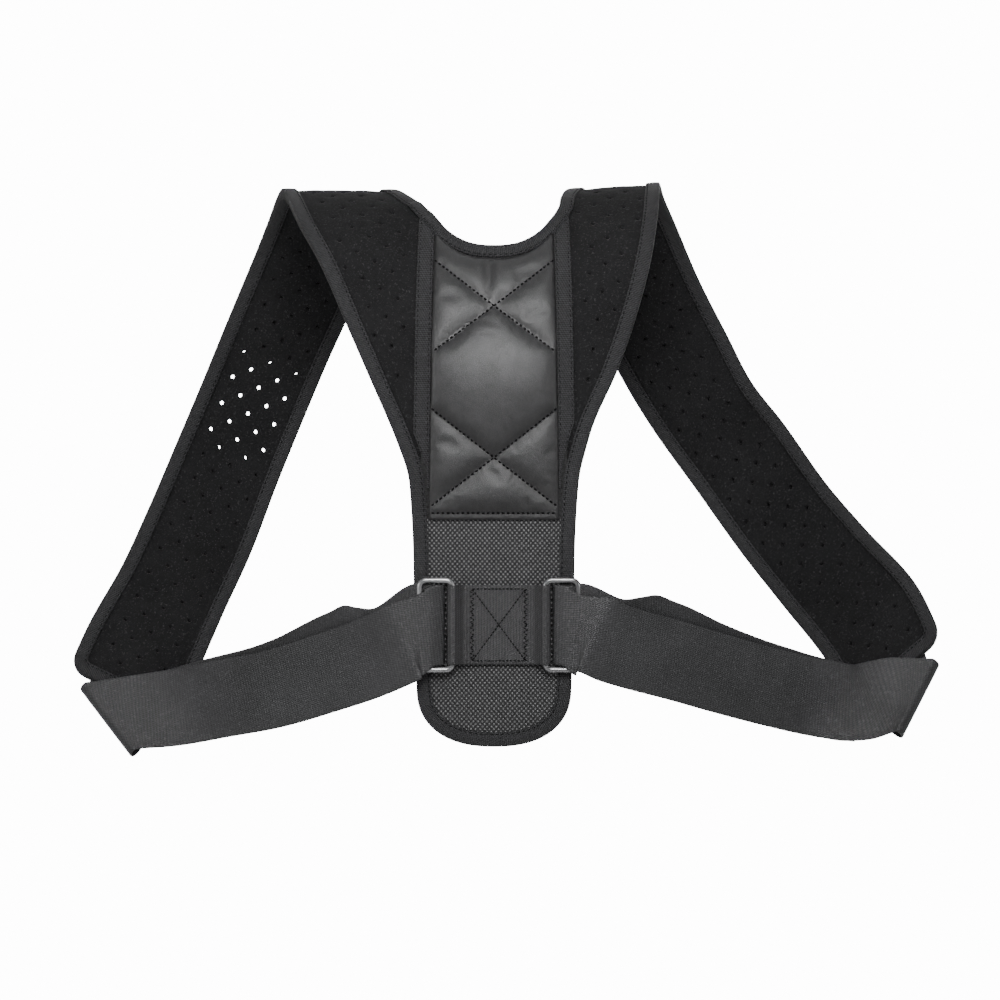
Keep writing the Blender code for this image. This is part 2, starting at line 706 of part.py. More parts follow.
def build_cross_webbing(material):
    """Webbing sewn across the panel, its two ends looped round the rings' inner bars."""
    bar = RING_BAR / 2
    eye = bar + GAP
    wrap = eye + WEB_THICK
    bar_x = RING_SPACING - RING_WIDTH / 2 + bar
    flat = -BACK_DEPTH - PANEL_HALF_MID - GAP
    near = flat - 2 * WEB_THICK
    outline = []
    for k in range(9):
        angle = math.radians(-118 + 236 * k / 8)
        outline.append((bar_x + wrap * math.cos(angle), RING_Y + wrap * math.sin(angle)))
    right = [(0.0205, near)] + outline + [(0.0215, flat)]
    outer = right + [(-x, y) for x, y in reversed(right)]
    eyes = []
    for side in (1, -1):
        eyes.append([
            (side * bar_x + eye * math.cos(2 * math.pi * k / 10), RING_Y + eye * math.sin(2 * math.pi * k / 10))
            for k in range(10)
        ])
    points, faces = flat_triangles(outer, eyes, [])
    return cloth_solid(
        "cross_webbing",
        points,
        faces,
        lambda x, y: np.array([x + CROSS_SHIFT, y, RING_Z + CROSS_HALF_HEIGHT]),
        lambda x, y: np.array([x + CROSS_SHIFT, y, RING_Z - CROSS_HALF_HEIGHT]),
        material,
    )


def strap_stations(pad, table, side, inset, fold_start, fold_angle):
    """Cross lines of a webbing strap, in order: on the pad, round the fold, to the ring, and back behind itself.

    Each is (edge that starts lateral and ends up on top, edge that starts medial and ends up below).
    """
    half_web = WEB_THICK / 2
    over = PAD_HALF + 2 * GAP + TAPE_THICK + half_web + 0.0004
    stations = []
    for b in np.linspace(pad.length - SEWN_LENGTH, pad.length - 0.0165, 7):
        lift = PAD_HALF + GAP + half_web
        stations.append([pad.at(a, b) + pad.out(a, b) * lift for a in (inset, inset + WEB_WIDTH)])
    tip = pad.length
    for b in (tip - 0.0110, tip - 0.0040):
        stations.append([pad.at(a, b) + pad.out(a, b) * over for a in (inset, inset + WEB_WIDTH)])
    corner = pad.at(0.0, tip)
    w = pad.at(0.05, tip) - corner
    w /= np.linalg.norm(w)
    normal = pad.out(0.03, tip)
    along = np.cross(normal, w)
    if np.dot(along, pad.at(0.03, tip + 0.01) - pad.at(0.03, tip)) < 0:
        along = -along
    first = corner + w * inset + along * fold_start
    last = corner + w * (inset + WEB_WIDTH) + along * (fold_start + WEB_WIDTH * math.tan(fold_angle))
    fold = (last - first) / np.linalg.norm(last - first)
    beyond = along - fold * np.dot(along, fold)
    beyond /= np.linalg.norm(beyond)
    upper = over
    lower = -(PAD_HALF + GAP + TAPE_THICK + 2 * WEB_THICK + half_web + 4 * GAP)
    for k in range(9):
        angle = math.pi * k / 8
        rise = (upper + lower) / 2 + (upper - lower) / 2 * math.cos(angle)
        off = normal * rise + beyond * FOLD_BULGE * math.sin(angle)
        stations.append([first + off, last + off])
    going = w * math.sin(2 * fold_angle) - along * math.cos(2 * fold_angle)
    start = (first + last) / 2 + normal * lower
    rows = [start - going * 0.032, start, start + going * 0.014]
    leans = []
    for _, sx, sy, sz, angle in reversed(table):
        rows.append(np.array([side * sx * REACH, sy * BACK_DEPTH, sz * DROP]))
        leans.append((np.linalg.norm(rows[-1] - start), angle))
    path = smooth(rows, 240)
    run = np.concatenate([[0.0], np.cumsum(np.linalg.norm(np.diff(path, axis=0), axis=1))])
    run -= run[int(np.argmin(np.linalg.norm(path - start, axis=1)))]
    tangents = np.gradient(path, run, axis=0)
    flat_up = first - last
    flat_up -= going * np.dot(flat_up, going)
    flat_up /= np.linalg.norm(flat_up)
    ups = []
    for point, tangent, s in zip(path, tangents, run):
        tilt = math.radians(np.interp(s, [l[0] for l in leans], [l[1] for l in leans]))
        up = np.array([side * math.sin(tilt), 0.0, math.cos(tilt)])
        ease = min(1.0, max(0.0, (s - 0.012) / 0.060))
        ease = ease * ease * (3 - 2 * ease)
        up = flat_up * (1 - ease) + up * ease
        up -= tangent * np.dot(up, tangent) / np.dot(tangent, tangent)
        ups.append(up / np.linalg.norm(up))
    ups = np.array(ups)

    def rail(s, share, off=0.0, lift=0.0):
        """A point of the strap's path at run s, share of the half width up, pushed off to the far side."""
        up = np.array([np.interp(s, run, ups[:, k]) for k in range(3)])
        tangent = np.array([np.interp(s, run, tangents[:, k]) for k in range(3)])
        away = np.cross(tangent, up)
        away *= math.copysign(1.0, away[1]) / np.linalg.norm(away)
        point = np.array([np.interp(s, run, path[:, k]) for k in range(3)])
        return point + up * (share * WEB_WIDTH / 2 + lift) + away * off

    skew = np.dot(first - last, going) / 2
    front = [0.004, 0.010, 0.017, 0.025, 0.034, 0.044]
    front += list(np.linspace(0.056, run[-1], 16))
    for s in front:
        part = skew * max(0.0, 1 - s / (2.4 * abs(skew)))
        stations.append([rail(s + part, 1.0), rail(s - part, -1.0)])
    bar_x = CROSS_SHIFT + side * (RING_SPACING + RING_WIDTH / 2 - RING_BAR / 2)
    turn_radius = RING_BAR / 2 + GAP + half_web + 0.0002
    slot = WEB_WIDTH / 2 - 0.0002
    for past, forward, down, lean in TUCK:
        level = RING_Z - TUCK_DROP * down
        tilt = math.radians(table[0][4]) * lean
        reach = np.array([side * math.sin(tilt), 0.0, math.cos(tilt)]) * slot
        middle = np.array([bar_x - side * TUCK_REACH * past, RING_Y + turn_radius * forward, level])
        stations.append([middle + reach, middle - reach])
    count = 17
    for k in range(1, count):
        share = k / (count - 1)
        s = run[-1] - 0.004 - (run[-1] - 0.004 - FREE_END) * share
        spread = 0.0027 + 0.0029 * (1 - share) ** 1.5
        lift = np.interp(run[-1] - s, [r[0] for r in BACK_RISE], [r[1] for r in BACK_RISE]) * min(1.0, k / 3)
        stations.append([rail(s, 1.0, spread, lift), rail(s, -1.0, spread, lift)])
    return stations


def build_strap(name, stations, material):
    """A webbing body of even thickness through its cross lines."""
    tops = np.array([s[0] for s in stations])
    lows = np.array([s[1] for s in stations])
    middles = (tops + lows) / 2
    rings = []
    last = len(stations) - 1
    for k in range(len(stations)):
        tangent = middles[min(k + 1, last)] - middles[max(k - 1, 0)]
        normal = np.cross(tangent, tops[k] - lows[k])
        normal /= np.linalg.norm(normal)
        off = normal * WEB_THICK / 2
        rings.append([tops[k] + off, lows[k] + off, lows[k] - off, tops[k] - off])
    return sweep(name, rings, False, material)


def main():
    for old in list(bpy.data.objects):
        bpy.data.objects.remove(old, do_unlink=True)
    neoprene = make_material("neoprene", (0.020, 0.020, 0.022), 0.90)
    neoprene_right = make_material("neoprene_right", (0.020, 0.020, 0.022), 0.90)
    tape = make_material("binding_tape", (0.028, 0.028, 0.030), 0.80)
    mesh_cloth = make_material("mesh_cloth", (0.035, 0.035, 0.037), 0.75)
    leather = make_material("leather", (0.030, 0.030, 0.032), 0.42)
    webbing = make_material("webbing", (0.022, 0.022, 0.024), 0.60)
    metal = make_material("ring_finish", (0.045, 0.045, 0.050), 0.35, 0.3)

    left = Pad(PAD_LEFT, -1)
    right = Pad(PAD_RIGHT, 1)
    build_pad("shoulder_pad_left", left, neoprene)
    build_pad("shoulder_pad_right", right, neoprene_right)
    build_pad_binding("binding_left", left, tape)
    build_pad_binding("binding_right", right, tape)
    build_panel(mesh_cloth)
    _, hem, neck = panel_outline(BINDING_TURN + GAP)
    back_binding("binding_hem", hem, False, tape)
    back_binding("binding_neck", neck, True, tape)
    build_seam_tape("seam_tape_left", -1, tape)
    build_seam_tape("seam_tape_right", 1, tape)
    build_leather(leather)
    build_cross_webbing(webbing)
    build_ring("ring_left", CROSS_SHIFT - RING_SPACING, metal)
    build_ring("ring_right", CROSS_SHIFT + RING_SPACING, metal)
    strap = strap_stations(left, STRAP_LEFT, -1, LEFT_INSET, LEFT_FOLD_START, LEFT_FOLD_ANGLE)
    build_strap("strap_left", strap, webbing)
    strap = strap_stations(right, STRAP_RIGHT, 1, RIGHT_INSET, RIGHT_FOLD_START, RIGHT_FOLD_ANGLE)
    build_strap("strap_right", strap, webbing)


main()
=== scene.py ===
import math

import bmesh
import bpy
import numpy as np
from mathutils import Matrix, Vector
from mathutils.geometry import delaunay_2d_cdt


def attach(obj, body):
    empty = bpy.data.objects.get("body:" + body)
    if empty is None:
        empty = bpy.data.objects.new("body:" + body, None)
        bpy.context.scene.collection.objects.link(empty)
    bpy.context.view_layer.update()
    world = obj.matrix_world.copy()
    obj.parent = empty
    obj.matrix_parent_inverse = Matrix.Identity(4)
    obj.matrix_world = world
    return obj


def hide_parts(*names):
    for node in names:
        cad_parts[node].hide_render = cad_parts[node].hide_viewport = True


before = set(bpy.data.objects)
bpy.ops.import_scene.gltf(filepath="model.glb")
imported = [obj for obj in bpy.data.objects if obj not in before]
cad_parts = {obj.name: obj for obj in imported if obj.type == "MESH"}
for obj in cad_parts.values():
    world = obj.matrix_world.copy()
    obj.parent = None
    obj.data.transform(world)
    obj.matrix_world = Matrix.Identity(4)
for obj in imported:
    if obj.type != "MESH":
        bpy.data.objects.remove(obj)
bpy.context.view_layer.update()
print("frame in place:", len(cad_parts), "solids")

# the brace's own sizes, in metres, as its solids have them, but for a deeper tuck at the rings
form = {
    "reach": 0.290, "backDepth": 0.080, "frontDepth": 0.090, "drop": 0.352, "shoulderArch": 0.130,
    "padHalf": 0.0020, "tapeThick": 0.0009, "webThick": 0.0014, "gap": 0.0003, "tapeGap": 0.0005,
    "tapeWidth": 0.0096, "tapeTurn": 0.0013, "rootZ": -0.1765, "seamHalfTop": 0.0412, "seamHalfRoot": 0.0452,
    "rootHalf": 0.0540, "waistHalf": 0.0502, "hemHalf": 0.0484, "hemZ": -0.3150, "hemRound": 2.35,
    "neckZ": -0.0160, "neckDip": 0.0233, "panelHalf": 0.0020, "panelHalfMid": 0.0030, "seamTape": 0.0100,
    "facingThick": 0.0010, "facingBottom": -0.2110, "webWidth": 0.0500, "ringHeight": 0.0588,
    "ringWidth": 0.0240, "ringBar": 0.0036, "ringZ": -0.2758, "ringY": -0.0892, "ringSpacing": 0.0388,
    "crossShift": 0.0030, "crossHalf": 0.0246, "sewn": 0.0630, "foldBulge": 0.0030, "freeEnd": 0.0400,
    "tuckReach": 0.0150, "tuckDrop": 0.0062,
}

# one row a section, root to tip: outer edge across, depth, height, then inner edge, as shares of the sizes above
padRows = {
    "left": [
        (0.188, -1.000, -0.5080, "seam", 0, -0.502),
        (0.212, -1.000, -0.4550, "seam", 0, -0.443),
        (0.269, -0.998, -0.3460, "seam", 0, -0.321),
        (0.318, -0.950, -0.2540, "seam", 0, -0.216),
        (0.379, -0.787, -0.1410, "seam", 0, -0.105),
        (0.424, -0.600, -0.0740, 0.1430, -0.500, -0.053),
        (0.455, -0.275, -0.0240, 0.1860, -0.275, -0.020),
        (0.474, 0.000, -0.0030, 0.2180, 0.000, -0.005),
        (0.493, 0.267, -0.0120, 0.2390, 0.340, -0.021),
        (0.515, 0.489, -0.0440, 0.2660, 0.622, -0.077),
        (0.553, 0.733, -0.1050, 0.3160, 0.850, -0.178),
        (0.621, 0.889, -0.2290, 0.3900, 0.980, -0.310),
        (0.677, 0.911, -0.3400, 0.4460, 1.000, -0.419),
        (0.731, 0.867, -0.4480, 0.4980, 0.960, -0.526),
        (0.796, 0.711, -0.5830, 0.5610, 0.790, -0.670),
        (0.848, 0.533, -0.6860, 0.6150, 0.556, -0.776),
        (0.918, 0.333, -0.7980, 0.6740, 0.289, -0.899),
        (0.957, 0.200, -0.8770, 0.7120, 0.133, -0.974),
    ],
    "right": [
        (0.187, -1.000, -0.5080, "seam", 0, -0.502),
        (0.212, -1.000, -0.4360, "seam", 0, -0.430),
        (0.265, -0.996, -0.3370, "seam", 0, -0.312),
        (0.304, -0.943, -0.2460, "seam", 0, -0.207),
        (0.339, -0.787, -0.1410, "seam", 0, -0.105),
        (0.356, -0.571, -0.0660, 0.1400, -0.486, -0.046),
        (0.365, -0.275, -0.0130, 0.1480, -0.275, -0.016),
        (0.371, 0.000, 0.0090, 0.1680, 0.000, -0.004),
        (0.385, 0.289, -0.0080, 0.1860, 0.356, -0.031),
        (0.414, 0.533, -0.0490, 0.2010, 0.670, -0.110),
        (0.470, 0.778, -0.1440, 0.2300, 0.890, -0.223),
        (0.542, 0.900, -0.2550, 0.3060, 0.980, -0.350),
        (0.592, 0.922, -0.3340, 0.3680, 1.000, -0.432),
        (0.669, 0.911, -0.4170, 0.4590, 0.970, -0.537),
        (0.772, 0.800, -0.5400, 0.5740, 0.840, -0.672),
        (0.851, 0.667, -0.6190, 0.6550, 0.667, -0.760),
        (0.957, 0.400, -0.7230, 0.7520, 0.378, -0.868),
        (1.008, 0.222, -0.8190, 0.8070, 0.156, -0.959),
    ],
}
# ring outward: across, depth, height as shares, and the lean of the width in degrees
strapRows = {
    "left": [
        (0.1900, -1.160, -0.8130, 13.0), (0.2220, -1.110, -0.8260, 14.0), (0.2560, -1.020, -0.8390, 14.5),
        (0.3660, -0.720, -0.8730, 14.0), (0.4860, -0.430, -0.9050, 12.0), (0.6030, -0.170, -0.9260, 10.5),
        (0.7230, 0.035, -0.9460, 9.5),
    ],
    "right": [
        (0.2120, -1.160, -0.8000, 14.0), (0.2440, -1.110, -0.8120, 14.5), (0.2820, -1.010, -0.8230, 15.0),
        (0.3960, -0.720, -0.8510, 15.5), (0.5120, -0.430, -0.8810, 16.0), (0.6310, -0.170, -0.9090, 14.0),
        (0.7210, 0.005, -0.9270, 9.0), (0.8100, 0.050, -0.9360, 2.0),
    ],
}

# turn round a ring's outer bar: shares past the bar, forward, down, and of the lean
tuckRows = [
    (0.00, -1.00, 1.00, 0.35), (0.20, -0.99, 0.74, 0.26), (0.40, -0.94, 0.36, 0.12), (0.58, -0.66, 0.08, 0.03),
    (0.76, -0.25, 0.00, 0.00), (0.90, 0.10, 0.00, 0.00), (0.98, 0.34, 0.00, 0.00), (1.00, 0.56, 0.00, 0.00),
    (0.97, 0.80, 0.00, 0.00), (0.89, 0.96, 0.00, 0.00), (0.70, 1.00, -0.02, 0.03), (0.40, 1.00, -0.08, 0.15),
    (0.00, 1.00, -0.16, 0.35),
]
# run from the ring, and how far the layer behind stands up past the front one
riseRows = [
    (0.000, 0.0065), (0.012, 0.0085), (0.035, 0.0120), (0.065, 0.0098),
    (0.095, 0.0058), (0.125, 0.0034), (0.160, 0.0018), (0.200, 0.0),
]


def backDepthAt(z):  # a quarter ellipse from the ridge, then straight down
    share = np.clip(1.0 + z / form["shoulderArch"], 0.0, 1.0)
    return -form["backDepth"] * np.sqrt(1.0 - share**2)


def onBack(x, z, off):  # a point of the back surface plus its outward normal times off
    slope = (backDepthAt(z + 0.0005) - backDepthAt(z - 0.0005)) / 0.001
    long = np.sqrt(1.0 + slope**2)
    x, off = np.broadcast_to(x, np.shape(z)), np.broadcast_to(off, np.shape(z))
    return np.stack([x, backDepthAt(z) - off / long, z + slope * off / long], axis=-1)


def seamHalfAt(z):  # half width at the seams, eased out from the neck to the wings' root
    share = np.clip((z - form["neckZ"]) / (form["rootZ"] - form["neckZ"]), 0.0, 1.0)
    return form["seamHalfTop"] + (form["seamHalfRoot"] - form["seamHalfTop"]) * share**0.55


def panelHalfAt(z):  # half width below the wings: drawn in to the waist over its run, then straight to the hem
    waistRun = 0.072
    share = np.clip((form["rootZ"] - z) / waistRun, 0.0, 1.0)
    upper = form["rootHalf"] + (form["waistHalf"] - form["rootHalf"]) * (1 - (1 - share) ** 2)
    waistZ = form["rootZ"] - waistRun
    low = np.clip((waistZ - z) / (waistZ - form["hemZ"]), 0.0, 1.0)
    return upper + (form["hemHalf"] - form["waistHalf"]) * low


def neckAt(x):  # height of the neck's edge, a flat-bottomed dip between the seams
    return form["neckZ"] - form["neckDip"] * (1 - np.abs(x / form["seamHalfTop"]) ** 2.6)


def ease(x):  # 0 to 1 with flat ends
    x = np.clip(x, 0.0, 1.0)
    return x * x * (3 - 2 * x)


def runOf(points):  # length along a row of points, from its first one
    return np.concatenate([[0.0], np.cumsum(np.linalg.norm(np.diff(points, axis=0), axis=1))])


def unit(vectors):  # each scaled to length one
    return vectors / np.linalg.norm(vectors, axis=-1, keepdims=True)


def nearest(points, others):  # distance from each point to the closest of the others
    return np.min([np.hypot(*(points - p).T) for p in others], axis=0)


def smoothRows(table, count):  # cubic pieces through the rows, slopes from each row's neighbours
    rows = np.array(table, float)
    t = runOf(rows[:, :3])
    slope = np.gradient(rows, t, axis=0)
    at = np.linspace(0.0, t[-1], count)
    k = np.clip(np.searchsorted(t, at, side="right") - 1, 0, len(t) - 2)
    h = (t[k + 1] - t[k])[:, None]
    s = ((at - t[k]) / (t[k + 1] - t[k]))[:, None]
    return ((2 * s**3 - 3 * s**2 + 1) * rows[k] + (s**3 - 2 * s**2 + s) * h * slope[k]
            + (3 * s**2 - 2 * s**3) * rows[k + 1] + (s**3 - s**2) * h * slope[k + 1])


def resample(run, step, columns=None):  # the same run with rows evenly spaced by the length of its first columns
    run = np.array(run, float)
    s = runOf(run[:, :columns])
    at = np.linspace(0.0, s[-1], max(2, int(round(s[-1] / step)) + 1))
    return np.stack([np.interp(at, s, run[:, k]) for k in range(run.shape[1])], axis=1), at


def makePad(table, side):  # two rails, outer and inner, over the run b along the pad's middle
    rows = []

    def spot(x, y, z):
        return [side * x * form["reach"], y * (form["frontDepth"] if y > 0 else form["backDepth"]), z * form["drop"]]

    for lx, ly, lz, mx, my, mz in table:
        outer = spot(lx, ly, lz)
        if mx == "seam":
            z = mz * form["drop"]
            inner = [side * float(seamHalfAt(z) + form["gap"]), float(backDepthAt(z)), z]
        else:
            inner = spot(mx, my, mz)
        rows.append([*((np.array(outer) + inner) / 2), *outer, *inner])
    dense = smoothRows(rows, 500)
    outer, inner = dense[:, 3:6], dense[:, 6:9]
    middle = (outer + inner) / 2
    b = runOf(middle)
    corner = np.array(rows[5][6:9])
    return {
        "side": side, "outer": outer, "inner": inner, "b": b, "length": b[-1],
        "width": np.linalg.norm(inner - outer, axis=1),
        "cornerB": b[int(np.argmin(np.linalg.norm(inner - corner, axis=1)))],
        "ridgeB": b[int(np.argmin(np.abs(middle[:, 1])))],
    }


def railAt(pad, rail, b):  # a rail's point at the run b, carried straight on past the tip
    inside = np.clip(b, 0.0, pad["length"])
    point = np.stack([np.interp(inside, pad["b"], pad[rail][:, k]) for k in range(3)], axis=-1)
    slope = (pad[rail][-1] - pad[rail][-12]) / (pad["b"][-1] - pad["b"][-12])
    return point + slope * np.maximum(b - pad["length"], 0.0)[..., None]


def widthAt(pad, b):  # from rail to rail at the run b, read off the dense rows
    return np.interp(b, pad["b"], pad["width"])


def padPoint(pad, a, b):  # outer rail plus a's share of the way across to the inner rail
    a, b = np.broadcast_arrays(np.asarray(a, float), np.asarray(b, float))
    outer = railAt(pad, "outer", b)
    return outer + (railAt(pad, "inner", b) - outer) * (a / widthAt(pad, b))[..., None]


def padOut(pad, a, b):  # the outer side's unit normal, from steps along and across
    a, b = np.broadcast_arrays(np.asarray(a, float), np.maximum(np.asarray(b, float), 0.0))
    along = padPoint(pad, a, b + 0.002) - padPoint(pad, a, np.maximum(b - 0.002, 0.0))
    across = padPoint(pad, a + 0.002, b) - padPoint(pad, a - 0.002, b)
    normal = np.cross(across, along) if pad["side"] < 0 else np.cross(along, across)
    return unit(normal)


def insideLoop(points, loop):  # even-odd rule
    found = np.zeros(len(points), bool)
    x, y = points[:, 0], points[:, 1]
    for (x0, y0), (x1, y1) in zip(loop, np.roll(loop, -1, axis=0)):
        if y0 != y1:
            found ^= ((y0 > y) != (y1 > y)) & (x < (x1 - x0) * (y - y0) / (y1 - y0) + x0)
    return found


def flatCloth(outline, inner, holes=(), radius=0.0, sides=0, lines=()):
    # triangles of a flat cut: its outline, round holes, sewn lines and the points between
    turn = 2 * math.pi * np.arange(sides) / max(sides, 1)
    loops = [np.array(outline, float)]
    loops += [np.array(h) + radius * np.stack([np.cos(turn), np.sin(turn)], axis=1) for h in holes]
    verts, edges = [], []
    for loop in loops:
        first, many = len(verts), len(loop)
        verts += loop.tolist()
        edges += [(first + k, first + (k + 1) % many) for k in range(many)]
    for line in lines:
        first = len(verts)
        verts += np.array(line).tolist()
        edges += [(first + k, first + k + 1) for k in range(len(line) - 1)]
    verts += np.array(inner).tolist()
    points, _, tris, _, _, _ = delaunay_2d_cdt([Vector(v) for v in verts], edges, [], 0, 1e-7)
    points, tris = np.array([tuple(p) for p in points]), np.array([t[:3] for t in tris])
    middle = points[tris].mean(axis=1)
    keep = insideLoop(middle, loops[0])
    if len(holes):
        near = np.linalg.norm(middle[:, None, :] - np.array(holes)[None], axis=2).min(axis=1)
        keep &= near > radius * 0.97
    return points, tris[keep]


def lattice(low, high, stepX, stepY):  # points in rows, every other row moved half a step
    rows = np.arange(low[1], high[1], stepY)
    cols = np.arange(low[0], high[0], stepX)
    x, y = np.meshgrid(cols, rows)
    return np.stack([(x + (np.arange(len(rows)) % 2)[:, None] * stepX / 2).ravel(), y.ravel()], axis=1)


def addPiece(name, verts, faces, material, replaces=(), uv=None, turnOut=True):
    # a mesh that rides on the root, with one UV pair a point, and normals turned out unless it is all stitches
    mesh = bpy.data.meshes.new(name)
    mesh.from_pydata(np.asarray(verts, float).tolist(), [], [list(map(int, f)) for f in faces])
    if uv is not None:
        corners = np.zeros(len(mesh.loops), int)
        mesh.loops.foreach_get("vertex_index", corners)
        mesh.uv_layers.new(name="cloth").data.foreach_set("uv", np.asarray(uv)[corners].astype(np.float32).ravel())
    if turnOut:
        shape = bmesh.new()
        shape.from_mesh(mesh)
        bmesh.ops.recalc_face_normals(shape, faces=shape.faces)
        shape.to_mesh(mesh)
        shape.free()
    mesh.shade_smooth()
    mesh.materials.append(material)
    piece = bpy.data.objects.new(name, mesh)
    bpy.context.scene.collection.objects.link(piece)
    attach(piece, "root")
    if replaces:
        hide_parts(*replaces)
    return piece


def closedCloth(near, far, tris):  # two faces joined by a wall along every open edge of the cut
    count = len(near)
    ends = np.concatenate([tris[:, [0, 1]], tris[:, [1, 2]], tris[:, [2, 0]]])
    open_ = ~np.isin(ends[:, 0] * count + ends[:, 1], ends[:, 1] * count + ends[:, 0])
    i, j = ends[open_].T
    walls = np.stack([j, i, i + count, j + count], axis=1)
    faces = [*tris.tolist(), *(tris[:, ::-1] + count).tolist(), *walls.tolist()]
    return np.concatenate([near, far]), faces


def sweptFaces(rings, size, closed=False):  # quads between equal rings, with the two ends capped
    r, k = np.meshgrid(np.arange(rings if closed else rings - 1), np.arange(size), indexing="ij")
    r2, k2 = (r + 1) % rings, (k + 1) % size
    quads = np.stack([r * size + k, r * size + k2, r2 * size + k2, r2 * size + k], axis=-1).reshape(-1, 4).tolist()
    if not closed:
        quads += [list(range(size))[::-1], [(rings - 1) * size + k for k in range(size)]]
    return quads


# thread of the seams: every stitch a short rounded bar that sinks at both ends
thread = {"pitch": 0.0033, "length": 0.0021, "radius": 0.00026, "sink": 0.00030}


def stitchBars(path, normal, pitch=thread["pitch"], length=thread["length"], radius=thread["radius"]):
    # six rings of six points along each stitch, thick in the middle, sunk by the cube of the way to its ends
    s = runOf(path)
    if s[-1] < length:
        return np.zeros((0, 3)), []
    at = np.arange(pitch / 2, s[-1] - length / 2, pitch)

    def take(values, where):
        return np.stack([np.interp(where, s, values[:, k]) for k in range(3)], axis=-1)

    t = np.array([-1.0, -0.72, -0.25, 0.25, 0.72, 1.0])
    thick = radius * np.array([0.45, 0.9, 1.0, 1.0, 0.9, 0.45])
    low = -thread["sink"] * np.abs(t) ** 3
    where = at[:, None] + t[None] * length / 2
    middle, up = take(path, where), unit(take(normal, where))
    ahead = take(path, where + 0.0003) - take(path, where - 0.0003)
    ahead /= np.linalg.norm(ahead, axis=-1, keepdims=True) + 1e-12
    side = np.cross(ahead, up)
    turn = 2 * math.pi * np.arange(6) / 6
    middle = middle + up * low[None, :, None]
    verts = (middle[:, :, None] + side[:, :, None] * (thick[None, :, None] * np.cos(turn))[..., None]
             + up[:, :, None] * (thick[None, :, None] * np.sin(turn))[..., None])
    faces = []
    one = sweptFaces(6, 6)
    for n in range(len(at)):
        faces += [[v + n * 36 for v in f] for f in one]
    return verts.reshape(-1, 3), faces


def stitchPiece(name, runs, material, **size):  # the stitches of several runs in one mesh
    verts, faces, first = [], [], 0
    for path, normal in runs:
        v, f = stitchBars(path, normal, **size)
        verts.append(v)
        faces += [[k + first for k in face] for face in f]
        first += len(v)
    return addPiece(name, np.concatenate(verts), faces, material, turnOut=False)


def newGroup(name, inputs, outputs):  # an input without a value is a vector
    group = bpy.data.node_groups.new(name, "ShaderNodeTree")
    for label, value in inputs.items():
        kind = "NodeSocketVector" if value is None else "NodeSocketFloat"
        socket = group.interface.new_socket(label, in_out="INPUT", socket_type=kind)
        if value is not None:
            socket.default_value = value
    for label in outputs:
        group.interface.new_socket(label, in_out="OUTPUT", socket_type="NodeSocketFloat")
    return group, group.nodes.new("NodeGroupInput"), group.nodes.new("NodeGroupOutput")


def mathNode(tree, kind, a, b=None):  # a and b are numbers or sockets
    node = tree.nodes.new("ShaderNodeMath")
    node.operation = kind
    for k, value in enumerate((a, b)):
        if value is None:
            continue
        if isinstance(value, (int, float)):
            node.inputs[k].default_value = value
        else:
            tree.links.new(value, node.inputs[k])
    return node.outputs[0]


def addUp(tree, *terms):  # the sum of sockets, each times its weight
    total = None
    for socket, weight in terms:
        part = mathNode(tree, "MULTIPLY", socket, weight)
        total = part if total is None else mathNode(tree, "ADD", total, part)
    return total


def waveMask(tree, phase):  # a cosine brought between 0 and 1
    return mathNode(tree, "ADD", mathNode(tree, "MULTIPLY", mathNode(tree, "COSINE", phase), 0.5), 0.5)


def noiseNode(tree, place, scale, detail, roughness=0.5):  # the scale is a number or a socket
    noise = tree.nodes.new("ShaderNodeTexNoise")
    noise.inputs["Detail"].default_value = detail
    noise.inputs["Roughness"].default_value = roughness
    tree.links.new(place, noise.inputs["Vector"])
    if isinstance(scale, float):
        noise.inputs["Scale"].default_value = scale
    else:
        tree.links.new(scale, noise.inputs["Scale"])
    return noise.outputs[0]


# the source span brought onto the target span
def spanNode(tree, value, source=(0.0, 1.0), target=(0.0, 1.0), curve="LINEAR"):
    span = tree.nodes.new("ShaderNodeMapRange")
    span.interpolation_type = curve
    for label, number in zip(("From Min", "From Max", "To Min", "To Max"), (*source, *target)):
        span.inputs[label].default_value = number
    tree.links.new(value, span.inputs[0])
    return span.outputs[0]


def splitNode(tree, vector):
    parts = tree.nodes.new("ShaderNodeSeparateXYZ")
    tree.links.new(vector, parts.inputs[0])
    return parts.outputs


def uvNode(tree, name):
    place = tree.nodes.new("ShaderNodeUVMap")
    place.uv_map = name
    return place.outputs[0]


def ribGroup():
    # ribs across a tape: a cosine of the length coordinate, broken a little by fine noise along each rib;
    # yarns: a cosine of a coordinate that runs at a slant
    group, start, end = newGroup(
        "clothRibs", {"Coordinate": None, "Ribs per metre": 500.0, "Yarns per metre": 1500.0}, ["Rib", "Yarn"])
    x, y, _ = splitNode(group, start.outputs["Coordinate"])
    noise = noiseNode(group, start.outputs["Coordinate"], 700.0, 1.0)
    stir = mathNode(group, "MULTIPLY", mathNode(group, "SUBTRACT", noise, 0.5), 1.1)
    ribs = mathNode(group, "MULTIPLY", mathNode(group, "MULTIPLY", y, start.outputs["Ribs per metre"]), 2 * math.pi)
    group.links.new(waveMask(group, mathNode(group, "ADD", ribs, stir)), end.inputs["Rib"])
    slant = mathNode(group, "ADD", x, mathNode(group, "MULTIPLY", y, 0.55))
    yarns = mathNode(group, "MULTIPLY", slant, start.outputs["Yarns per metre"])
    yarns = mathNode(group, "MULTIPLY", yarns, 2 * math.pi)
    group.links.new(waveMask(group, yarns), end.inputs["Yarn"])
    return group


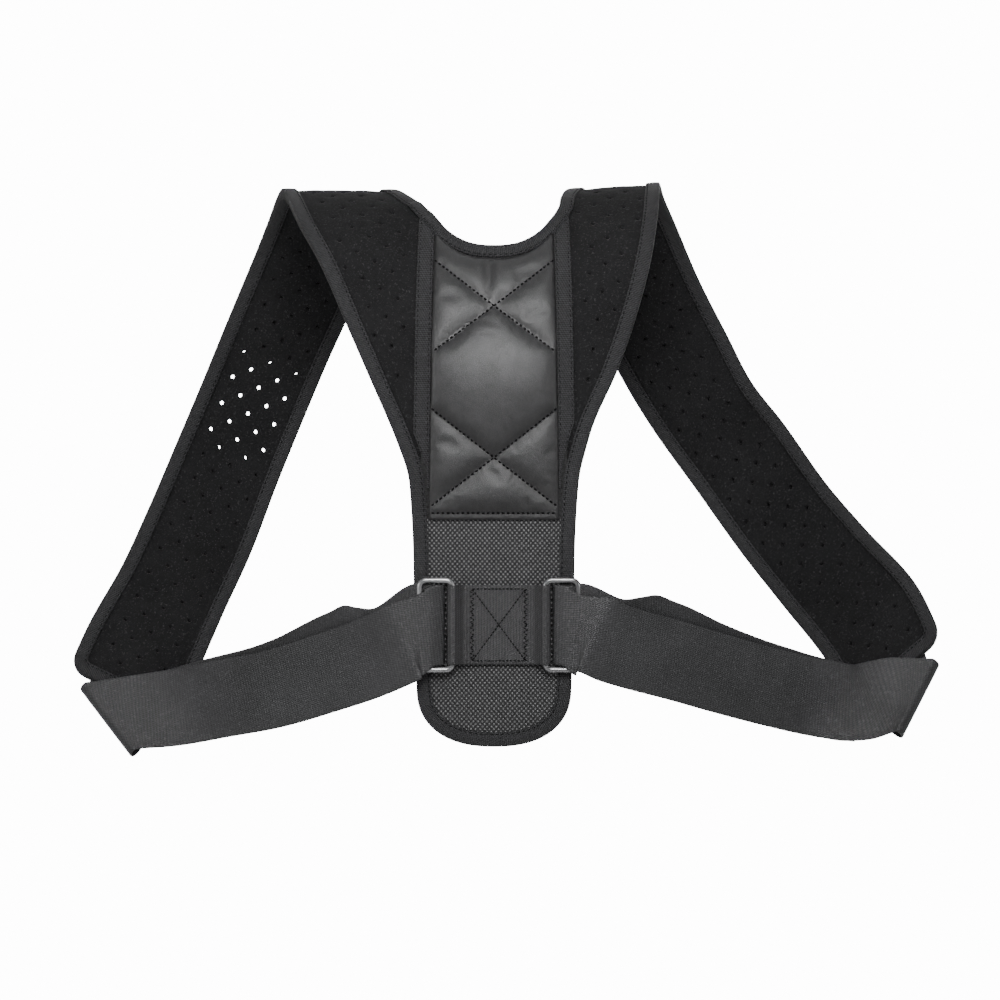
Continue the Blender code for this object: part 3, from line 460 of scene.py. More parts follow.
def speckGroup():
    # loose fibre ends and uneven dye: sharp fine noise, and slow noise over a few centimetres
    group, start, end = newGroup(
        "fibreSpeck", {"Coordinate": None, "Fine scale": 900.0, "Slow scale": 28.0}, ["Speck", "Tone", "Fuzz"])
    fine, slow = start.outputs["Fine scale"], start.outputs["Slow scale"]
    for label, scale, detail, source in (
        ("Speck", fine, 2.0, (0.58, 0.74)),
        ("Tone", slow, 3.0, (0.3, 0.7)),
        ("Fuzz", mathNode(group, "MULTIPLY", fine, 0.6), 4.0, (0.2, 0.8)),
    ):
        noise = noiseNode(group, start.outputs["Coordinate"], scale, detail, 0.62)
        group.links.new(spanNode(group, noise, source), end.inputs[label])
    return group


groups = {"ribs": ribGroup(), "speck": speckGroup()}


def startPaint(name, fine, slow=28.0):  # a new material with the piece's place and the fibre noise at hand
    material = bpy.data.materials.new(name)
    material.use_nodes = True
    tree = material.node_tree
    solid = tree.nodes.new("ShaderNodeTexCoord")
    speck = tree.nodes.new("ShaderNodeGroup")
    speck.node_tree = groups["speck"]
    speck.inputs["Fine scale"].default_value = fine
    speck.inputs["Slow scale"].default_value = slow
    tree.links.new(solid.outputs["Object"], speck.inputs["Coordinate"])
    return material, tree, solid.outputs, speck.outputs


def finishPaint(tree, colors, shade, rough, roughBy, height, gloss):
    # colour mixed by the shade, roughness spread by a mask, a bump of millimetres, and plain gloss values
    shader = tree.nodes["Principled BSDF"]
    mix = tree.nodes.new("ShaderNodeMix")
    mix.data_type = "RGBA"
    mix.inputs["A"].default_value = (*colors[0], 1.0)
    mix.inputs["B"].default_value = (*colors[1], 1.0)
    tree.links.new(shade, mix.inputs["Factor"])
    tree.links.new(mix.outputs["Result"], shader.inputs["Base Color"])
    tree.links.new(spanNode(tree, roughBy, target=rough), shader.inputs["Roughness"])
    bump = tree.nodes.new("ShaderNodeBump")
    bump.inputs["Distance"].default_value = 0.001
    tree.links.new(height, bump.inputs["Height"])
    tree.links.new(bump.outputs[0], shader.inputs["Normal"])
    for label, value in gloss.items():
        shader.inputs[label].default_value = value


def clothMaterial(name, look):
    # dark and light ends of the cloth's colour mixed by rib, yarn, tone and speck; rib, yarn and fuzz raise the bump
    material, tree, _, speck = startPaint(name, look["speckScale"], look.get("slowScale", 28.0))
    ribs = tree.nodes.new("ShaderNodeGroup")
    ribs.node_tree = groups["ribs"]
    ribs.inputs["Ribs per metre"].default_value = 1 / look["ribPitch"]
    ribs.inputs["Yarns per metre"].default_value = 1 / look["yarnPitch"]
    tree.links.new(uvNode(tree, "cloth"), ribs.inputs["Coordinate"])
    rib, yarn = ribs.outputs["Rib"], ribs.outputs["Yarn"]
    height = addUp(tree, (rib, look["ribDepth"]), (yarn, look["yarnDepth"]), (speck["Fuzz"], look["fuzzDepth"]))
    # painted shade: the grooves of the ribs and yarns, where the bump sinks, take the darker colour
    shade = addUp(tree, (rib, look["ribShade"]), (speck["Tone"], look["toneShade"]),
                  (speck["Speck"], look["speckShade"]), (yarn, look["yarnShade"]))
    finishPaint(tree, (look["dark"], look["light"]), shade, look["rough"], speck["Fuzz"], height, {
        "Sheen Weight": look["sheen"], "Sheen Roughness": 0.4, "Specular IOR Level": look["specular"]})
    return material


cloths = {
    "neoprene": {
        "ribPitch": 0.0011, "ribDepth": 0.05, "ribShade": 0.05,
        "yarnPitch": 0.0009, "yarnDepth": 0.09, "yarnShade": 0.12, "fuzzDepth": 0.16, "toneShade": 0.12,
        "speckScale": 850.0, "speckShade": 0.9,
        "dark": (0.0060, 0.0060, 0.0065), "light": (0.046, 0.046, 0.048), "rough": (0.82, 0.98),
        "sheen": 0.06, "specular": 0.25,
    },
    "tape": {
        "ribPitch": 0.0012, "ribDepth": 0.16, "ribShade": 0.50,
        "yarnPitch": 0.0016, "yarnDepth": 0.07, "yarnShade": 0.30, "fuzzDepth": 0.10, "toneShade": 0.10,
        "speckScale": 1000.0, "speckShade": 0.5,
        "dark": (0.004, 0.004, 0.0045), "light": (0.050, 0.050, 0.053), "rough": (0.60, 0.86),
        "sheen": 0.10, "specular": 0.35,
    },
    "webbing": {
        "ribPitch": 0.0020, "ribDepth": 0.09, "ribShade": 0.20,
        "yarnPitch": 0.0014, "yarnDepth": 0.11, "yarnShade": 0.26, "fuzzDepth": 0.12, "toneShade": 0.30,
        "slowScale": 16.0, "speckScale": 800.0, "speckShade": 0.8,
        "dark": (0.004, 0.004, 0.0045), "light": (0.068, 0.068, 0.072), "rough": (0.40, 0.62),
        "sheen": 0.03, "specular": 0.6,
    },
}
# the cross webbing: the webbing's look with finer, deeper ribs and a darker light end, painted shade that tones down
# the lamp it faces
cloths["crossCloth"] = {
    **cloths["webbing"], "ribPitch": 0.0018, "ribDepth": 0.14, "ribShade": 0.34, "light": (0.050, 0.050, 0.053)}
materials = {name: clothMaterial(name, look) for name, look in cloths.items()}


def plainMaterial(name, color, rough, bumpScale, bumpDepth, specular, metallic=0.0, tones=0.35, coat=0.0):
    # one colour varied by slow noise, and a fine grain in the bump
    material, tree, _, speck = startPaint(name, bumpScale)
    colors = [[c * (1 - tones) for c in color], [c * (1 + tones) for c in color]]
    height = mathNode(tree, "MULTIPLY", speck["Fuzz"], bumpDepth)
    finishPaint(tree, colors, speck["Tone"], rough, speck["Tone"], height, {
        "Metallic": metallic, "Specular IOR Level": specular, "Coat Weight": coat})
    return material


def leatherMaterial():
    # fine pebbles from cell edges over a satin coat; the hollows of the grain are darker, and the sewn valleys darker
    # still by painted shade
    material, tree, solid, speck = startPaint("facingLeather", 500.0, 60.0)
    cells = tree.nodes.new("ShaderNodeTexVoronoi")
    cells.feature = "DISTANCE_TO_EDGE"
    cells.inputs["Scale"].default_value = 1100.0
    tree.links.new(solid["Object"], cells.inputs["Vector"])
    grain = spanNode(tree, cells.outputs["Distance"], (0.0, 0.25))
    # painted shade: the colour falls to 0.3 of itself where the blown skin is low, at the stitches and edges
    level = splitNode(tree, uvNode(tree, "valleyShadeLevel"))[0]
    raised = spanNode(tree, level, (0.0, 0.62), (0.30, 1.0), "SMOOTHSTEP")
    shade = mathNode(tree, "ADD", addUp(tree, (speck["Tone"], 0.35), (grain, 0.25)), 0.30)
    shade = mathNode(tree, "MULTIPLY", shade, raised)
    height = addUp(tree, (grain, 0.035), (speck["Fuzz"], 0.05))
    finishPaint(tree, ((0.004, 0.004, 0.0045), (0.060, 0.060, 0.062)), shade, (0.36, 0.50), speck["Fuzz"], height, {
        "Specular IOR Level": 0.55, "Coat Weight": 0.15, "Coat Roughness": 0.42})
    return material


def meshMaterial(dotPitch, rowPitch):
    # raised dots in rows moved half a step: the cut's own coordinates give each dot's round mask, and the outer
    # face has none from the facing's lower edge upwards, beside it too
    material, tree, solid, speck = startPaint("panelMesh", 1400.0)
    x, y, _ = splitNode(tree, uvNode(tree, "cloth"))
    waveX = mathNode(tree, "COSINE", mathNode(tree, "MULTIPLY", x, 2 * math.pi / dotPitch))
    waveY = mathNode(tree, "COSINE", mathNode(tree, "MULTIPLY", y, math.pi / rowPitch))
    below = spanNode(tree, y, (-0.0048, -0.0030), (1.0, 0.0))
    inward = spanNode(tree, splitNode(tree, solid["Normal"])[1], (-0.1, 0.1))
    shown = mathNode(tree, "MAXIMUM", below, inward)
    wave = mathNode(tree, "MULTIPLY", mathNode(tree, "MULTIPLY", waveX, waveY), shown)
    dots = spanNode(tree, wave, (0.02, 0.75))
    shade = addUp(tree, (dots, 0.75), (speck["Fuzz"], 0.2))
    height = addUp(tree, (dots, 0.25), (speck["Fuzz"], 0.12))
    finishPaint(tree, ((0.002, 0.002, 0.0022), (0.210, 0.210, 0.215)), shade, (0.85, 0.5), dots, height, {})
    return material


meshWeave = {"dotPitch": 0.00285, "rowPitch": 0.0016, "rise": 0.00040}
materials["mesh"] = meshMaterial(meshWeave["dotPitch"], meshWeave["rowPitch"])
materials["leather"] = leatherMaterial()
materials["thread"] = plainMaterial("sewingThread", (0.0025, 0.0025, 0.0028), (0.6, 0.8), 2500.0, 0.08, 0.15)
materials["ring"] = plainMaterial(
    "ringPaint", (0.330, 0.330, 0.338), (0.18, 0.28), 700.0, 0.02, 0.7, metallic=0.7, coat=0.3)
print("materials made:", len(materials))


def addSwept(name, verts, material, node, uv=None, closed=False):
    # a piece from a grid of points, one row a ring
    faces = sweptFaces(*verts.shape[:2], closed)
    uv = None if uv is None else uv.reshape(-1, 2)
    return addPiece(name, verts.reshape(-1, 3), faces, material, [node], uv)


# shoulder pads: foam between knit faces, fuller in the middle than where it is bound, with punched holes
padLook = {"tipRound": 0.010, "step": 0.0032, "fullHalf": 0.0026, "boundHalf": 0.0019, "holeRadius": 0.00140,
           "holePitch": 0.0189, "holeSides": 14, "rim": 0.0008, "dent": 0.00045, "keep": 0.0125,
           "edgeStep": 0.0025, "fullFrom": 0.009, "fullOver": 0.014, "patchLength": 0.088, "patchOver": 0.016,
           "dentOver": 0.0019, "dentBound": 0.35, "slide": 0.0038, "slideFrom": 0.005, "slideOver": 0.007,
           "litZ": -0.138, "litHalf": 0.020, "litOver": 0.030, "litShare": 0.12}


def padRuns(pad):  # the bound edge and the sewn edge of the flat cut, set in from the outer edge
    margin = form["tapeTurn"] + form["gap"]
    end, tip = pad["length"] - margin, padLook["tipRound"]
    angle = np.linspace(0, math.pi / 2, 13)[1:]
    step = padLook["edgeStep"]
    outer = np.arange(0.0012, end - tip, step)
    turn = np.stack([margin + tip * (1 - np.cos(angle)), end - tip * (1 - np.sin(angle))], axis=1)
    wide = float(widthAt(pad, pad["length"])) - margin
    across = np.stack([wide - (turn[::-1, 0] - margin), turn[::-1, 1]], axis=1)
    inner = np.arange(end - tip - 0.001, pad["cornerB"] + 0.001, -step)
    seam = np.arange(pad["cornerB"] - 0.003, 0.0012, -step)
    bound = np.concatenate([
        np.stack([np.full_like(outer, margin), outer], axis=1), turn, across,
        np.stack([widthAt(pad, inner) - margin, inner], axis=1),
    ])
    return bound, np.stack([widthAt(pad, seam), seam], axis=1)


def padHoleCentres(pad):  # a square lattice on its corner, centred on the pad's middle line
    pitch, keep = padLook["holePitch"], padLook["keep"]
    found = []
    start = pad["ridgeB"] + 0.026
    for row in range(-40, 60):
        b = start + row * pitch / 2
        if not 0.030 < b < pad["length"] - 0.015:
            continue
        wide = float(widthAt(pad, b))
        a = wide / 2 + (np.arange(-4, 5) + (0.5 if row % 2 else 0.0)) * pitch
        a = a[(a > keep) & (a < wide - keep)]
        found += [(float(v), float(b)) for v in a]
    return found


def padHalfAt(pad, a, b, holes):  # half thickness: squeezed at bound edges and patch, dented round each hole
    wide = widthAt(pad, b)
    close = np.minimum(np.minimum(a, wide - a), pad["length"] - b)
    patch = ease((b - (pad["length"] - padLook["patchLength"])) / padLook["patchOver"])
    full = ease((close - padLook["fullFrom"]) / padLook["fullOver"]) * (1 - patch)
    half = padLook["boundHalf"] + (padLook["fullHalf"] - padLook["boundHalf"]) * full
    near = nearest(np.stack([a, b], axis=1), holes)
    dent = padLook["dent"] * (1 - ease((near - padLook["holeRadius"]) / padLook["dentOver"]))
    return half - dent * (padLook["dentBound"] + (1 - padLook["dentBound"]) * full)


def padSlideAt(pad, a, b):
    # how far the inner face has crept, so that holes run at a slant: along the pad where it leans, and across it
    # where it stands upright, but hardly in one patch of the left pad, where light shows through
    z = (railAt(pad, "outer", b)[..., 2] + railAt(pad, "inner", b)[..., 2]) / 2
    out = padOut(pad, widthAt(pad, b) / 2, b)
    along = np.clip(out[..., 2] / 0.30, -1.0, 1.0) * np.clip((b - pad["ridgeB"]) / 0.010, -1.0, 1.0)
    across = np.sqrt(1.0 - along**2)
    edge = np.minimum(np.minimum(a, widthAt(pad, b) - a), np.minimum(b, pad["length"] - b))
    size = padLook["slide"] * ease((edge - padLook["slideFrom"]) / padLook["slideOver"])
    if pad["side"] < 0:
        beside = ease((np.abs(z - padLook["litZ"]) - padLook["litHalf"]) / padLook["litOver"])
        window = padLook["litShare"] + (1 - padLook["litShare"]) * beside
        size = size * np.where(b > pad["ridgeB"] + 0.02, window, 1.0)
    return size * across, size * along


def buildPad(word, pad, node):
    # both faces stand off the middle one by the half thickness, and the far one is moved by the slide as well
    bound, seam = padRuns(pad)
    holes = padHoleCentres(pad)
    outline = np.concatenate([bound, seam])
    step = padLook["step"]
    inner = lattice((0.0, 0.0), (float(pad["width"].max()) + step, pad["length"]), step, step * 0.87)
    shrunk = np.minimum(inner[:, 0], widthAt(pad, inner[:, 1]) - inner[:, 0]) > 0.0026
    inner = inner[shrunk & insideLoop(inner, outline)]
    rim = padLook["holeRadius"] + padLook["rim"]
    inner = inner[(nearest(inner, outline[::2]) > 0.0022) & (nearest(inner, holes) > rim + 0.0011)]
    turn = 2 * math.pi * (np.arange(padLook["holeSides"]) + 0.5) / padLook["holeSides"]
    ring = rim * np.stack([np.cos(turn), np.sin(turn)], axis=1)
    inner = np.concatenate([inner, *[ring + np.array(h) for h in holes]])
    flat, tris = flatCloth(outline, inner, holes, padLook["holeRadius"], padLook["holeSides"])
    a, b = flat.T
    half = padHalfAt(pad, a, b, holes)
    near = padPoint(pad, a, b) + padOut(pad, a, b) * half[:, None]
    across, along = padSlideAt(pad, a, b)
    far = padPoint(pad, a + across, b + along) - padOut(pad, a + across, b + along) * half[:, None]
    verts, faces = closedCloth(near, far, tris)
    uv = np.tile(flat, (2, 1))
    piece = addPiece("shoulderPad" + word, verts, faces, materials["neoprene"], [node], uv)
    print("shoulder pad", word.lower(), "-", len(holes), "holes,", len(faces), "faces")


pads = {"Left": makePad(padRows["left"], -1), "Right": makePad(padRows["right"], 1)}
for word, pad in pads.items():
    buildPad(word, pad, "shoulder_pad_" + word.lower())

# edge tape: folded round the cloth's edge, sewn through near its inner rim, which puckers at each stitch
tapeLook = {"step": 0.0008, "sewnAt": 0.0066, "sewnDip": 0.00026, "swell": 0.00022, "pucker": 0.00010}


def tapeProfile(half):  # (inward from the edge, off the cloth's middle, share of the pucker) once round the fold
    low = half + form["tapeGap"]
    high = low + form["tapeThick"]
    deep = form["tapeWidth"] - form["tapeTurn"] - form["gap"]
    face = [(deep, high - 0.0006, 0.3), (deep - 0.0003, high - 0.0002, 0.6), (deep - 0.0007, high, 0.8)]
    for d in (0.0066, 0.0056, 0.0042, 0.0028, 0.0014, 0.0003):
        dip = math.exp(-((d - tapeLook["sewnAt"]) / 0.0006) ** 2)
        bulge = math.sin(math.pi * min(1.0, max(0.0, d / tapeLook["sewnAt"]))) * tapeLook["swell"]
        face.append((d, high + bulge - tapeLook["sewnDip"] * dip, dip))
    nose = [(-0.0002 - (form["tapeTurn"] - 0.0002) * math.sin(t), high * math.cos(t), 0.0)
            for t in np.linspace(0.25, math.pi - 0.25, 7)]
    depths = (deep, 0.004, -form["gap"])
    inside = [(d, -low, 0.0) for d in depths] + [(d, low, 0.0) for d in reversed(depths)]
    return np.array(face + nose + [(d, -o, p) for d, o, p in reversed(face)] + inside)


def inwardOf(run):  # unit directions into the cloth, a quarter turn from the run's own
    ahead = unit(np.gradient(run, axis=0))
    return np.stack([ahead[:, 1], -ahead[:, 0]], axis=1)


def framesOf(run, place):  # edge point, unit inward direction and unit normal at each step of a flat run
    inward = inwardOf(run)

    def at(deep, off):
        return place(*(run + inward * deep).T, np.full(len(run), off))

    edge, middle = at(0.0, 0.0), at(0.004, 0.0)
    return np.concatenate([edge, unit(at(0.008, 0.0) - edge), unit(at(0.004, 0.001) - middle)], axis=1)


def blendFrames(parts, reach):  # several runs joined end to end, evened out by a weighted mean over a short reach
    rows, s = resample(np.concatenate(parts), tapeLook["step"], 3)
    count = int(round(reach / tapeLook["step"]))
    weight = np.hanning(2 * count + 3)[1:-1]
    padded = np.pad(rows, ((count, count), (0, 0)), mode="reflect", reflect_type="odd")
    rows = np.stack([np.convolve(padded[:, k], weight / weight.sum(), mode="valid") for k in range(9)], axis=1)
    for k in (3, 6):
        rows[:, k:k + 3] = unit(rows[:, k:k + 3])
    return rows, s


def buildTape(name, node, frames, s, half, lift=None):
    # the profile carried along the frames: in from the edge by its first number, off the cloth by its second
    profile = tapeProfile(half)
    point, inward, out = frames[:, None, :3], frames[:, None, 3:6], frames[:, None, 6:9]
    high = half + form["tapeGap"] + form["tapeThick"]
    pucker = tapeLook["pucker"] * np.cos(2 * math.pi * s / thread["pitch"])[:, None] * profile[None, :, 2]
    off = profile[None, :, 1] + pucker * np.sign(profile[None, :, 1])
    if lift is not None:
        off = off + lift[:, None] * np.clip(profile[None, :, 1] / high, 0.0, 1.0)
    verts = point + inward * profile[None, :, :1] + out * off[..., None]
    uv = np.stack([np.broadcast_to(profile[None, :, 0], off.shape), np.broadcast_to(s[:, None], off.shape)], axis=-1)
    piece = addSwept(name, verts, materials["tape"], node, uv)
    sewn = frames[:, :3] + frames[:, 3:6] * tapeLook["sewnAt"]
    rows = []
    for sign in (1, -1):
        above = sign * (high - 0.00005) + (lift if lift is not None and sign > 0 else 0.0)
        rows.append((sewn + frames[:, 6:9] * np.broadcast_to(above, len(s))[:, None], sign * frames[:, 6:9]))
    seam = stitchPiece(name.replace("edgeTape", "tapeStitches"), rows, materials["thread"])


def onPad(pad):  # a point of the pad's middle face plus its outward normal times off
    return lambda a, b, off: padPoint(pad, a, b) + padOut(pad, a, b) * off[..., None]


def panelRuns():  # hem and neck of the spine panel's cut
    margin = form["tapeTurn"] + form["gap"]
    z = np.linspace(form["rootZ"] - 0.0015, form["hemZ"], 40)
    turn = np.linspace(0, math.pi / 2, 40)[1:]
    side = np.stack([panelHalfAt(z) - margin, z], axis=1)
    power, deep = 2 / form["hemRound"], form["drop"] - margin + form["hemZ"]
    across = (form["hemHalf"] - margin) * np.cos(turn) ** power
    low = np.stack([across, form["hemZ"] - deep * np.sin(turn) ** power], axis=1)
    hem = np.concatenate([side, low])
    hem = np.concatenate([hem, (hem * [-1, 1])[-2::-1]])
    x = np.linspace(-form["seamHalfTop"], form["seamHalfTop"], 71)
    return hem, np.stack([x, neckAt(x) - margin], axis=1)


# where the pads' tapes meet the hem's and the neck's, as runs on the pad, and how far a join is evened out and raised
joints = {"wing": 0.020, "neck": 0.014, "reach": 0.006, "neckLift": 0.0012}
hemRun, neckRun = panelRuns()
ends = {}
for word, pad in pads.items():
    margin = form["tapeTurn"] + form["gap"]
    bound, _ = padRuns(pad)
    bound, _ = resample(bound, tapeLook["step"])
    first = int(np.sum((bound[:, 0] < margin + 1e-6) & (bound[:, 1] < joints["wing"])))
    last = len(bound) - 1 - int(np.sum((bound[:, 0] > margin + 0.03) & (bound[:, 1] < pad["cornerB"] + joints["neck"])))
    frames = framesOf(bound, onPad(pad))
    rows, s = blendFrames([frames[first:last + 1]], 0.003)
    buildTape("edgeTape" + word, "binding_" + word.lower(), rows, s, form["padHalf"])
    ends[word] = (frames[:first + 1], frames[last:])
hemFrames = framesOf(hemRun, onBack)
rows, s = blendFrames([ends["Right"][0][::-1], hemFrames[2:-2], ends["Left"][0]], joints["reach"])
buildTape("edgeTapeHem", "binding_hem", rows, s, form["panelHalf"])
neckFrames = framesOf(neckRun, onBack)
rows, s = blendFrames([ends["Left"][1], neckFrames[2:-2], ends["Right"][1][::-1]], joints["reach"])
away = np.abs(np.abs(rows[:, 0]) - form["seamHalfTop"] + 0.0010)
lift = joints["neckLift"] * (1 - ease((away - 0.0055) / 0.0040))  # up over the ends of the seam tapes
buildTape("edgeTapeNeck", "binding_neck", rows, s, form["panelHalf"], lift)
print("edge tapes folded round")

# spine panel: padded, covered in a coarse woven mesh whose dots stand up
panelLook = {"coarse": 0.0040, "dotsFrom": form["facingBottom"] + 0.0048}


def panelHalfThick(x, z):  # half thickness, eased from the bound edge up to the middle
    close = np.minimum(panelHalfAt(z) - np.abs(x), form["facingBottom"] + 0.008 - z)
    down = np.maximum(form["hemZ"] - z, 0.0) / (form["drop"] + form["hemZ"])
    rounded = (np.abs(x / form["hemHalf"]) ** form["hemRound"] + down ** form["hemRound"]) ** (1 / form["hemRound"])
    close = np.where(z < form["hemZ"], np.minimum(close, (1 - rounded) * (form["drop"] + form["hemZ"])), close)
    return form["panelHalf"] + (form["panelHalfMid"] - form["panelHalf"]) * ease((close - 0.0115) / 0.014)


def buildPanel():
    # below the facing the outer face rises by the product of two cosines, one dot at each of their crests
    z = np.arange(form["neckZ"] - 0.010, form["rootZ"] + 0.004, -0.004)
    z = np.concatenate([[form["neckZ"] - 0.0065], z, [form["rootZ"] + 0.0012]])
    side = seamHalfAt(z) - form["gap"]
    side += 0.0016 * np.clip((-0.146 - z) / 0.010, 0, 1) - 0.0028 * np.clip((z + 0.046) / 0.020, 0, 1)
    right = np.stack([side, z], axis=1)
    top = neckRun[np.abs(neckRun[:, 0]) < 0.036][::3]
    outline = np.concatenate([right * [-1, 1], hemRun[::2][::-1], right[::-1], top[::-1]])
    fineX = np.arange(-80, 81) * meshWeave["dotPitch"] / 4
    fineZ = panelLook["dotsFrom"] - np.arange(0, 190) * meshWeave["rowPitch"] / 2
    fine = np.stack(np.meshgrid(fineX, fineZ), axis=-1).reshape(-1, 2)
    rough = lattice((-0.06, form["facingBottom"] + 0.008), (0.06, 0.0), panelLook["coarse"], panelLook["coarse"])
    inner = np.concatenate([fine, rough])
    inner = inner[insideLoop(inner, outline)]
    inner = inner[nearest(inner, outline) > 0.0012]
    flat, tris = flatCloth(outline, inner)
    x, z = flat.T
    low = z < form["facingBottom"] + 0.006
    uv = np.stack([x, z - panelLook["dotsFrom"]], axis=1)
    dots = np.cos(2 * math.pi * x / meshWeave["dotPitch"]) * np.cos(math.pi * uv[:, 1] / meshWeave["rowPitch"])
    rise = np.where(low, meshWeave["rise"] * np.clip(dots, -0.3, 1.0), 0.0)
    near = onBack(x, z, panelHalfThick(x, z) - 0.0001 + rise)
    verts, faces = closedCloth(near, onBack(x, z, np.full_like(x, -form["panelHalf"])), tris)
    uv = np.tile(uv, (2, 1))
    piece = addPiece("spinePanel", verts, faces, materials["mesh"], ["spine_panel"], uv)


buildPanel()
print("spine panel laid")


def armholeHalf(z, rows):  # half width out to the wing's cut edge, from the pad's first rows
    heights = np.array([row[2] * form["drop"] for row in rows[:6]])
    widths = np.array([row[0] * form["reach"] for row in rows[:6]])
    return np.where(z < form["rootZ"], panelHalfAt(z), np.interp(z, heights, widths) - 0.0012)


def buildSeamTape(word, side):  # a flat ribbed tape over the seam, sewn down along both edges
    z = np.linspace(form["neckZ"] - 0.0040, form["rootZ"] - 0.0150, 210)
    inner = seamHalfAt(z) - form["seamTape"] / 2
    room = armholeHalf(z, padRows[word.lower()]) - form["tapeWidth"] - 0.0020
    outer = np.minimum(seamHalfAt(z) + form["seamTape"] / 2, room)
    outer = np.maximum(outer, inner + 0.0012)
    slant = 0.0050 * np.clip((z - (form["neckZ"] - 0.0115)) / 0.0075, 0, 1)
    low = form["panelHalf"] + 2 * form["gap"]
    share = np.array([0.0, 0.02, 0.08, 0.13, 0.22, 0.4, 0.6, 0.78, 0.87, 0.92, 0.98, 1.0, 1.0, 0.0])
    rise = np.array([0.3, 0.8, 0.95, 0.55, 1.0, 1.12, 1.12, 1.0, 0.55, 0.95, 0.8, 0.3, 0.0, 0.0]) * form["tapeThick"]
    x = side * (inner[:, None] + (outer - inner)[:, None] * share)
    zz = z[:, None] - slant[:, None] * (1 - share)
    verts = onBack(x, zz, low + rise[None] + 0 * x)
    uv = np.stack([x, np.broadcast_to(z[:, None], x.shape)], axis=-1)
    piece = addSwept("seamTape" + word, verts, materials["tape"], "seam_tape_" + word.lower(), uv)
    rows = []
    for part in (0.13, 0.87):
        at = inner + (outer - inner) * part
        keep = (outer - inner) > 0.004
        path = onBack(side * at, z - slant * (1 - part), np.full(len(z), low + form["tapeThick"] * 0.62))[keep]
        rows.append((path, path - onBack(side * at, z, np.zeros(len(z)))[keep]))
    seam = stitchPiece("seamStitches" + word, rows, materials["thread"])


buildSeamTape("Left", -1)
buildSeamTape("Right", 1)

# quilted facing: soft leather over wadding, sewn down in two crosses, then filled out by a short cloth run
quilt = {
    "crosses": ((-0.0500, -0.1075), (-0.1416, -0.2030)), "rowZ": -0.2067, "step": 0.00165, "puff": 0.0060,
    "cap": 0.0088, "pressure": 2.0, "frames": 18, "spare": -0.0015, "folds": 0.00003, "foldPitch": 0.0071,
    "stitch": {"pitch": 0.0031, "length": 0.0020, "radius": 0.00062}, "blunt": 0.72, "slideMax": 0.0008,
    "creases": [  # from x, z to x, z, then depth and width
        (-0.0050, -0.0440, -0.0040, -0.0740, 0.0013, 0.0038), (-0.0130, -0.0870, 0.0070, -0.0935, 0.0005, 0.0026),
        (-0.0090, -0.0960, 0.0040, -0.0990, 0.0004, 0.0024), (0.0120, -0.0620, 0.0300, -0.0560, 0.0005, 0.0040),
        (-0.0330, -0.0700, -0.0180, -0.0790, 0.0006, 0.0040), (0.0180, -0.0880, 0.0340, -0.0800, 0.0004, 0.0034),
        (-0.0050, -0.1790, 0.0040, -0.1900, 0.0006, 0.0034), (-0.0340, -0.1600, -0.0200, -0.1720, 0.0005, 0.0040),
    ],
}


def facingHalf(z):  # half width between the seam tapes
    return seamHalfAt(z) - form["seamTape"] / 2 - form["gap"]


def crossLines():  # two slanted seams for each cross, from edge to edge
    lines = []
    for top, bottom in quilt["crosses"]:
        z = np.linspace(top, bottom, 44)
        share = (top - z) / (top - bottom)
        half = facingHalf(z) - 0.0002
        lines += [np.stack([sign * half * (1 - 2 * share), z], axis=1) for sign in (1, -1)]
    return lines


def fillOut(tris, start, held):
    # the sheet is held at its edge and stitches while air pressure and a little spare cloth raise it
    mesh = bpy.data.meshes.new("facingTrial")
    mesh.from_pydata(start.tolist(), [], tris.tolist())
    trial = bpy.data.objects.new("facingTrial", mesh)
    bpy.context.scene.collection.objects.link(trial)
    group = trial.vertex_groups.new(name="sewn")
    group.add([int(k) for k in np.nonzero(held)[0]], 1.0, "REPLACE")
    cloth = trial.modifiers.new("fill", "CLOTH")
    settings = cloth.settings
    settings.quality = 6
    settings.mass = 0.2
    settings.tension_stiffness = settings.compression_stiffness = 12
    settings.shear_stiffness = 6
    settings.bending_stiffness = 6.0
    settings.vertex_group_mass = "sewn"
    settings.shrink_min = quilt["spare"]
    settings.use_pressure = True
    settings.uniform_pressure_force = quilt["pressure"]
    settings.effector_weights.gravity = 0.0
    cloth.point_cache.frame_start = 1
    cloth.point_cache.frame_end = quilt["frames"]
    for step in range(1, quilt["frames"] + 1):
        bpy.context.scene.frame_set(step)
    shaped = trial.evaluated_get(bpy.context.evaluated_depsgraph_get())
    found = np.zeros(len(start) * 3)
    shaped.data.vertices.foreach_get("co", found)
    bpy.data.objects.remove(trial)
    bpy.context.scene.frame_set(1)
    return found.reshape(-1, 3)


def membrane(flat, tris, held):
    # height of an evenly blown skin, 1 at its highest: each free point is the mean of its neighbours plus a constant
    ends = np.concatenate([tris[:, [0, 1]], tris[:, [1, 2]], tris[:, [2, 0]]])
    ends = np.unique(np.sort(ends, axis=1), axis=0)
    i, j = np.concatenate([ends, ends[:, ::-1]]).T
    count = np.maximum(np.bincount(i, minlength=len(flat)), 1)
    long = np.linalg.norm(flat[i] - flat[j], axis=1)
    load = np.bincount(i, long**2, minlength=len(flat)) / count
    height, speed = np.zeros(len(flat)), np.zeros(len(flat))
    for _ in range(700):
        pull = np.bincount(i, height[j], minlength=len(flat)) / count - height + load
        speed = 0.96 * speed + pull
        height = np.where(held, 0.0, height + speed * 0.9)
    return np.clip(height / height.max(), 0.0, 1.0)


